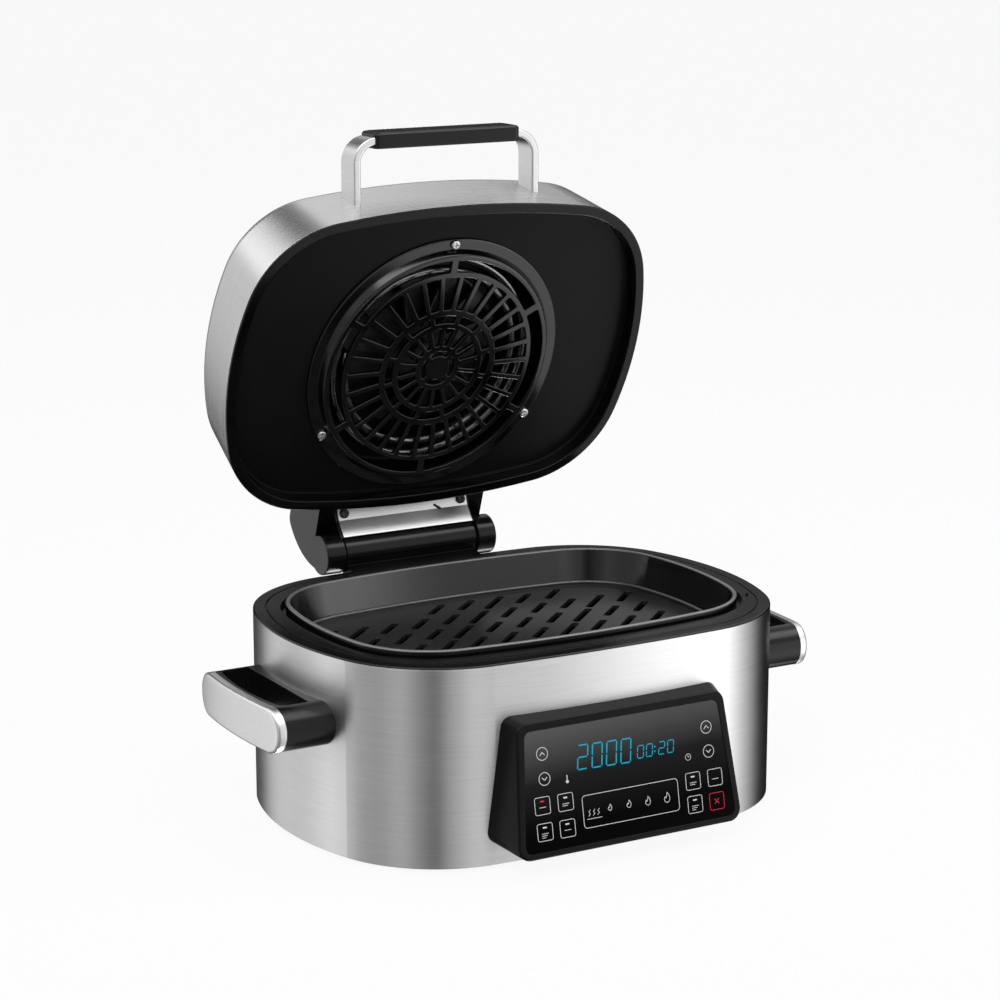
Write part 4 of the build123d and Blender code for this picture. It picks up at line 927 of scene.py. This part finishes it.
# polished pieces see a round studio of pale and dark cards: cards, sky and sweeps go by degrees
# round from the photograph's side, and heights by how far up or down a direction points
studioSettings = {
    "fill": 0.2,
    "strength": 2.0,
    "cards": (
        (-180, 0.0), (-146, 0.0), (-139, 0.34), (-130, 0.5), (-108, 0.46), (-100, 0.58),
        (-93, 0.78), (-79, 0.36), (-68, 0.28), (-50, 0.27), (-30, 0.37), (-14, 0.2), (0, 0.07),
        (14, 0.33), (36, 0.53), (58, 0.4), (68, 1.3), (77, 1.25), (90, 0.76), (104, 0.42),
        (116, 0.22), (126, 0.03), (138, 0.0), (180, 0.0),
    ),
    "sky": (
        (-180, 0.5), (-170, 0.5), (-160, 0.18), (-149, 0.0), (-138, 0.02), (-126, 1.3),
        (-115, 0.7), (-60, 0.46), (0, 0.42), (60, 0.46), (120, 0.46), (165, 0.4), (180, 0.5),
    ),
    "skyHeights": ((0.27, 0.0), (0.42, 1.0)),
    "groundHeights": ((-0.75, 0.4), (-0.42, 1.0)),
    "strips": {
        "high": ((0.66, 0.0), (0.72, 1.0), (0.9, 1.0), (0.94, 0.0)),
        "low": ((-0.9, 1.0), (-0.82, 0.0)),
        "highSweep": ((-80, 0.0), (-50, 1.0), (112, 1.0), (140, 0.0)),
        "lowSweep": ((118, 0.0), (128, 1.0), (165, 1.0), (178, 0.0)),
        "highGlow": 3.5,
        "lowGlow": 14.0,
    },
}


def addWhiteGlow(tree, strength):
    glow = addNode(tree, "ShaderNodeBackground")
    glow.inputs["Color"].default_value = (1, 1, 1, 1)
    if isinstance(strength, (int, float)):
        glow.inputs["Strength"].default_value = strength
    else:
        joinSockets(tree, strength, glow.inputs["Strength"])
    return glow.outputs["Background"]


def mixGlow(tree, factor, first, second):
    mix = addNode(tree, "ShaderNodeMixShader")
    joinSockets(tree, factor, mix.inputs["Fac"])
    joinSockets(tree, first, mix.inputs[1])
    joinSockets(tree, second, mix.inputs[2])
    return mix.outputs["Shader"]


def makeStudio(settings):
    world = bpy.data.worlds.new("studio")
    bpy.context.scene.world = world
    world.use_nodes = True
    tree = world.node_tree
    tree.nodes.clear()
    coordinates = addNode(tree, "ShaderNodeTexCoord")
    parts = addNode(tree, "ShaderNodeSeparateXYZ")
    joinSockets(tree, coordinates.outputs["Generated"], parts.inputs[0])
    forward = addMath(tree, "MULTIPLY", parts.outputs["Y"], -1.0)
    angle = addMath(tree, "ARCTAN2", parts.outputs["X"], forward)
    turned = addMath(tree, "SUBTRACT", angle, radians(cameraSettings["azimuth"]))
    rounds = addMath(tree, "ADD", addMath(tree, "DIVIDE", turned, 2 * pi), 0.5)
    share = addMath(tree, "FRACT", rounds)
    level = addMath(tree, "ADD", addMath(tree, "MULTIPLY", parts.outputs["Z"], 0.5), 0.5)

    def aroundRamp(stops):
        places = [(degree / 360 + 0.5, tone) for degree, tone in stops]
        return addRamp(tree, share, places, "EASE")

    def upRamp(stops):
        return addRamp(tree, level, [(height / 2 + 0.5, tone) for height, tone in stops])

    blend = addNode(tree, "ShaderNodeMix", data_type="RGBA")
    joinSockets(tree, upRamp(settings["skyHeights"]), blend.inputs["Factor"])
    joinSockets(tree, aroundRamp(settings["cards"]), blend.inputs["A"])
    joinSockets(tree, aroundRamp(settings["sky"]), blend.inputs["B"])
    cards = addNode(tree, "ShaderNodeBackground")
    strength = addMath(tree, "MULTIPLY", upRamp(settings["groundHeights"]), settings["strength"])
    joinSockets(tree, strength, cards.inputs["Strength"])
    joinSockets(tree, blend.outputs["Result"], cards.inputs["Color"])

    # two narrow strips, high and low, draw the bright lines along rounded black edges
    strips = settings["strips"]

    def stripGlow(name):
        lit = addMath(tree, "MULTIPLY", upRamp(strips[name]), aroundRamp(strips[name + "Sweep"]))
        return addMath(tree, "MULTIPLY", lit, strips[name + "Glow"])

    edges = addWhiteGlow(tree, addMath(tree, "ADD", stripGlow("high"), stripGlow("low")))
    shiny = addNode(tree, "ShaderNodeAddShader")
    joinSockets(tree, cards.outputs["Background"], shiny.inputs[0])
    joinSockets(tree, edges, shiny.inputs[1])

    # matt light comes from an even fill, and the camera sees plain white
    path = addNode(tree, "ShaderNodeLightPath").outputs
    seen = addMath(tree, "MAXIMUM", path["Is Camera Ray"], path["Is Transmission Ray"])
    fill = addWhiteGlow(tree, settings["fill"])
    reflected = mixGlow(tree, path["Is Glossy Ray"], fill, shiny.outputs["Shader"])
    around = mixGlow(tree, seen, reflected, addWhiteGlow(tree, 1.0))
    output = addNode(tree, "ShaderNodeOutputWorld")
    joinSockets(tree, around, output.inputs["Surface"])


makeStudio(studioSettings)

lampSettings = {
    "aim": (0, 0, 0.18),
    "lamps": {
        "keyLamp": {"spot": (-1.5, -1.3, 1.9), "size": 1.1, "power": 30.0},
        "sideLamp": {"spot": (1.7, -0.9, 1.3), "size": 0.9, "power": 14.0},
        "topLamp": {"spot": (0.0, 0.5, 2.3), "size": 1.2, "power": 22.0},
    },
}


def placeLamps(settings):
    for name, values in settings["lamps"].items():
        data = bpy.data.lights.new(name, "AREA")
        data.size = values["size"]
        data.energy = values["power"]
        lamp = bpy.data.objects.new(name, data)
        lamp.location = values["spot"]
        lamp.visible_glossy = False
        towards = Vector(settings["aim"]) - Vector(values["spot"])
        lamp.rotation_euler = towards.to_track_quat("-Z", "Y").to_euler()
        bpy.context.scene.collection.objects.link(lamp)


placeLamps(lampSettings)
bpy.context.scene.view_settings.view_transform = "Standard"
print("stage: floor, studio and lamps")
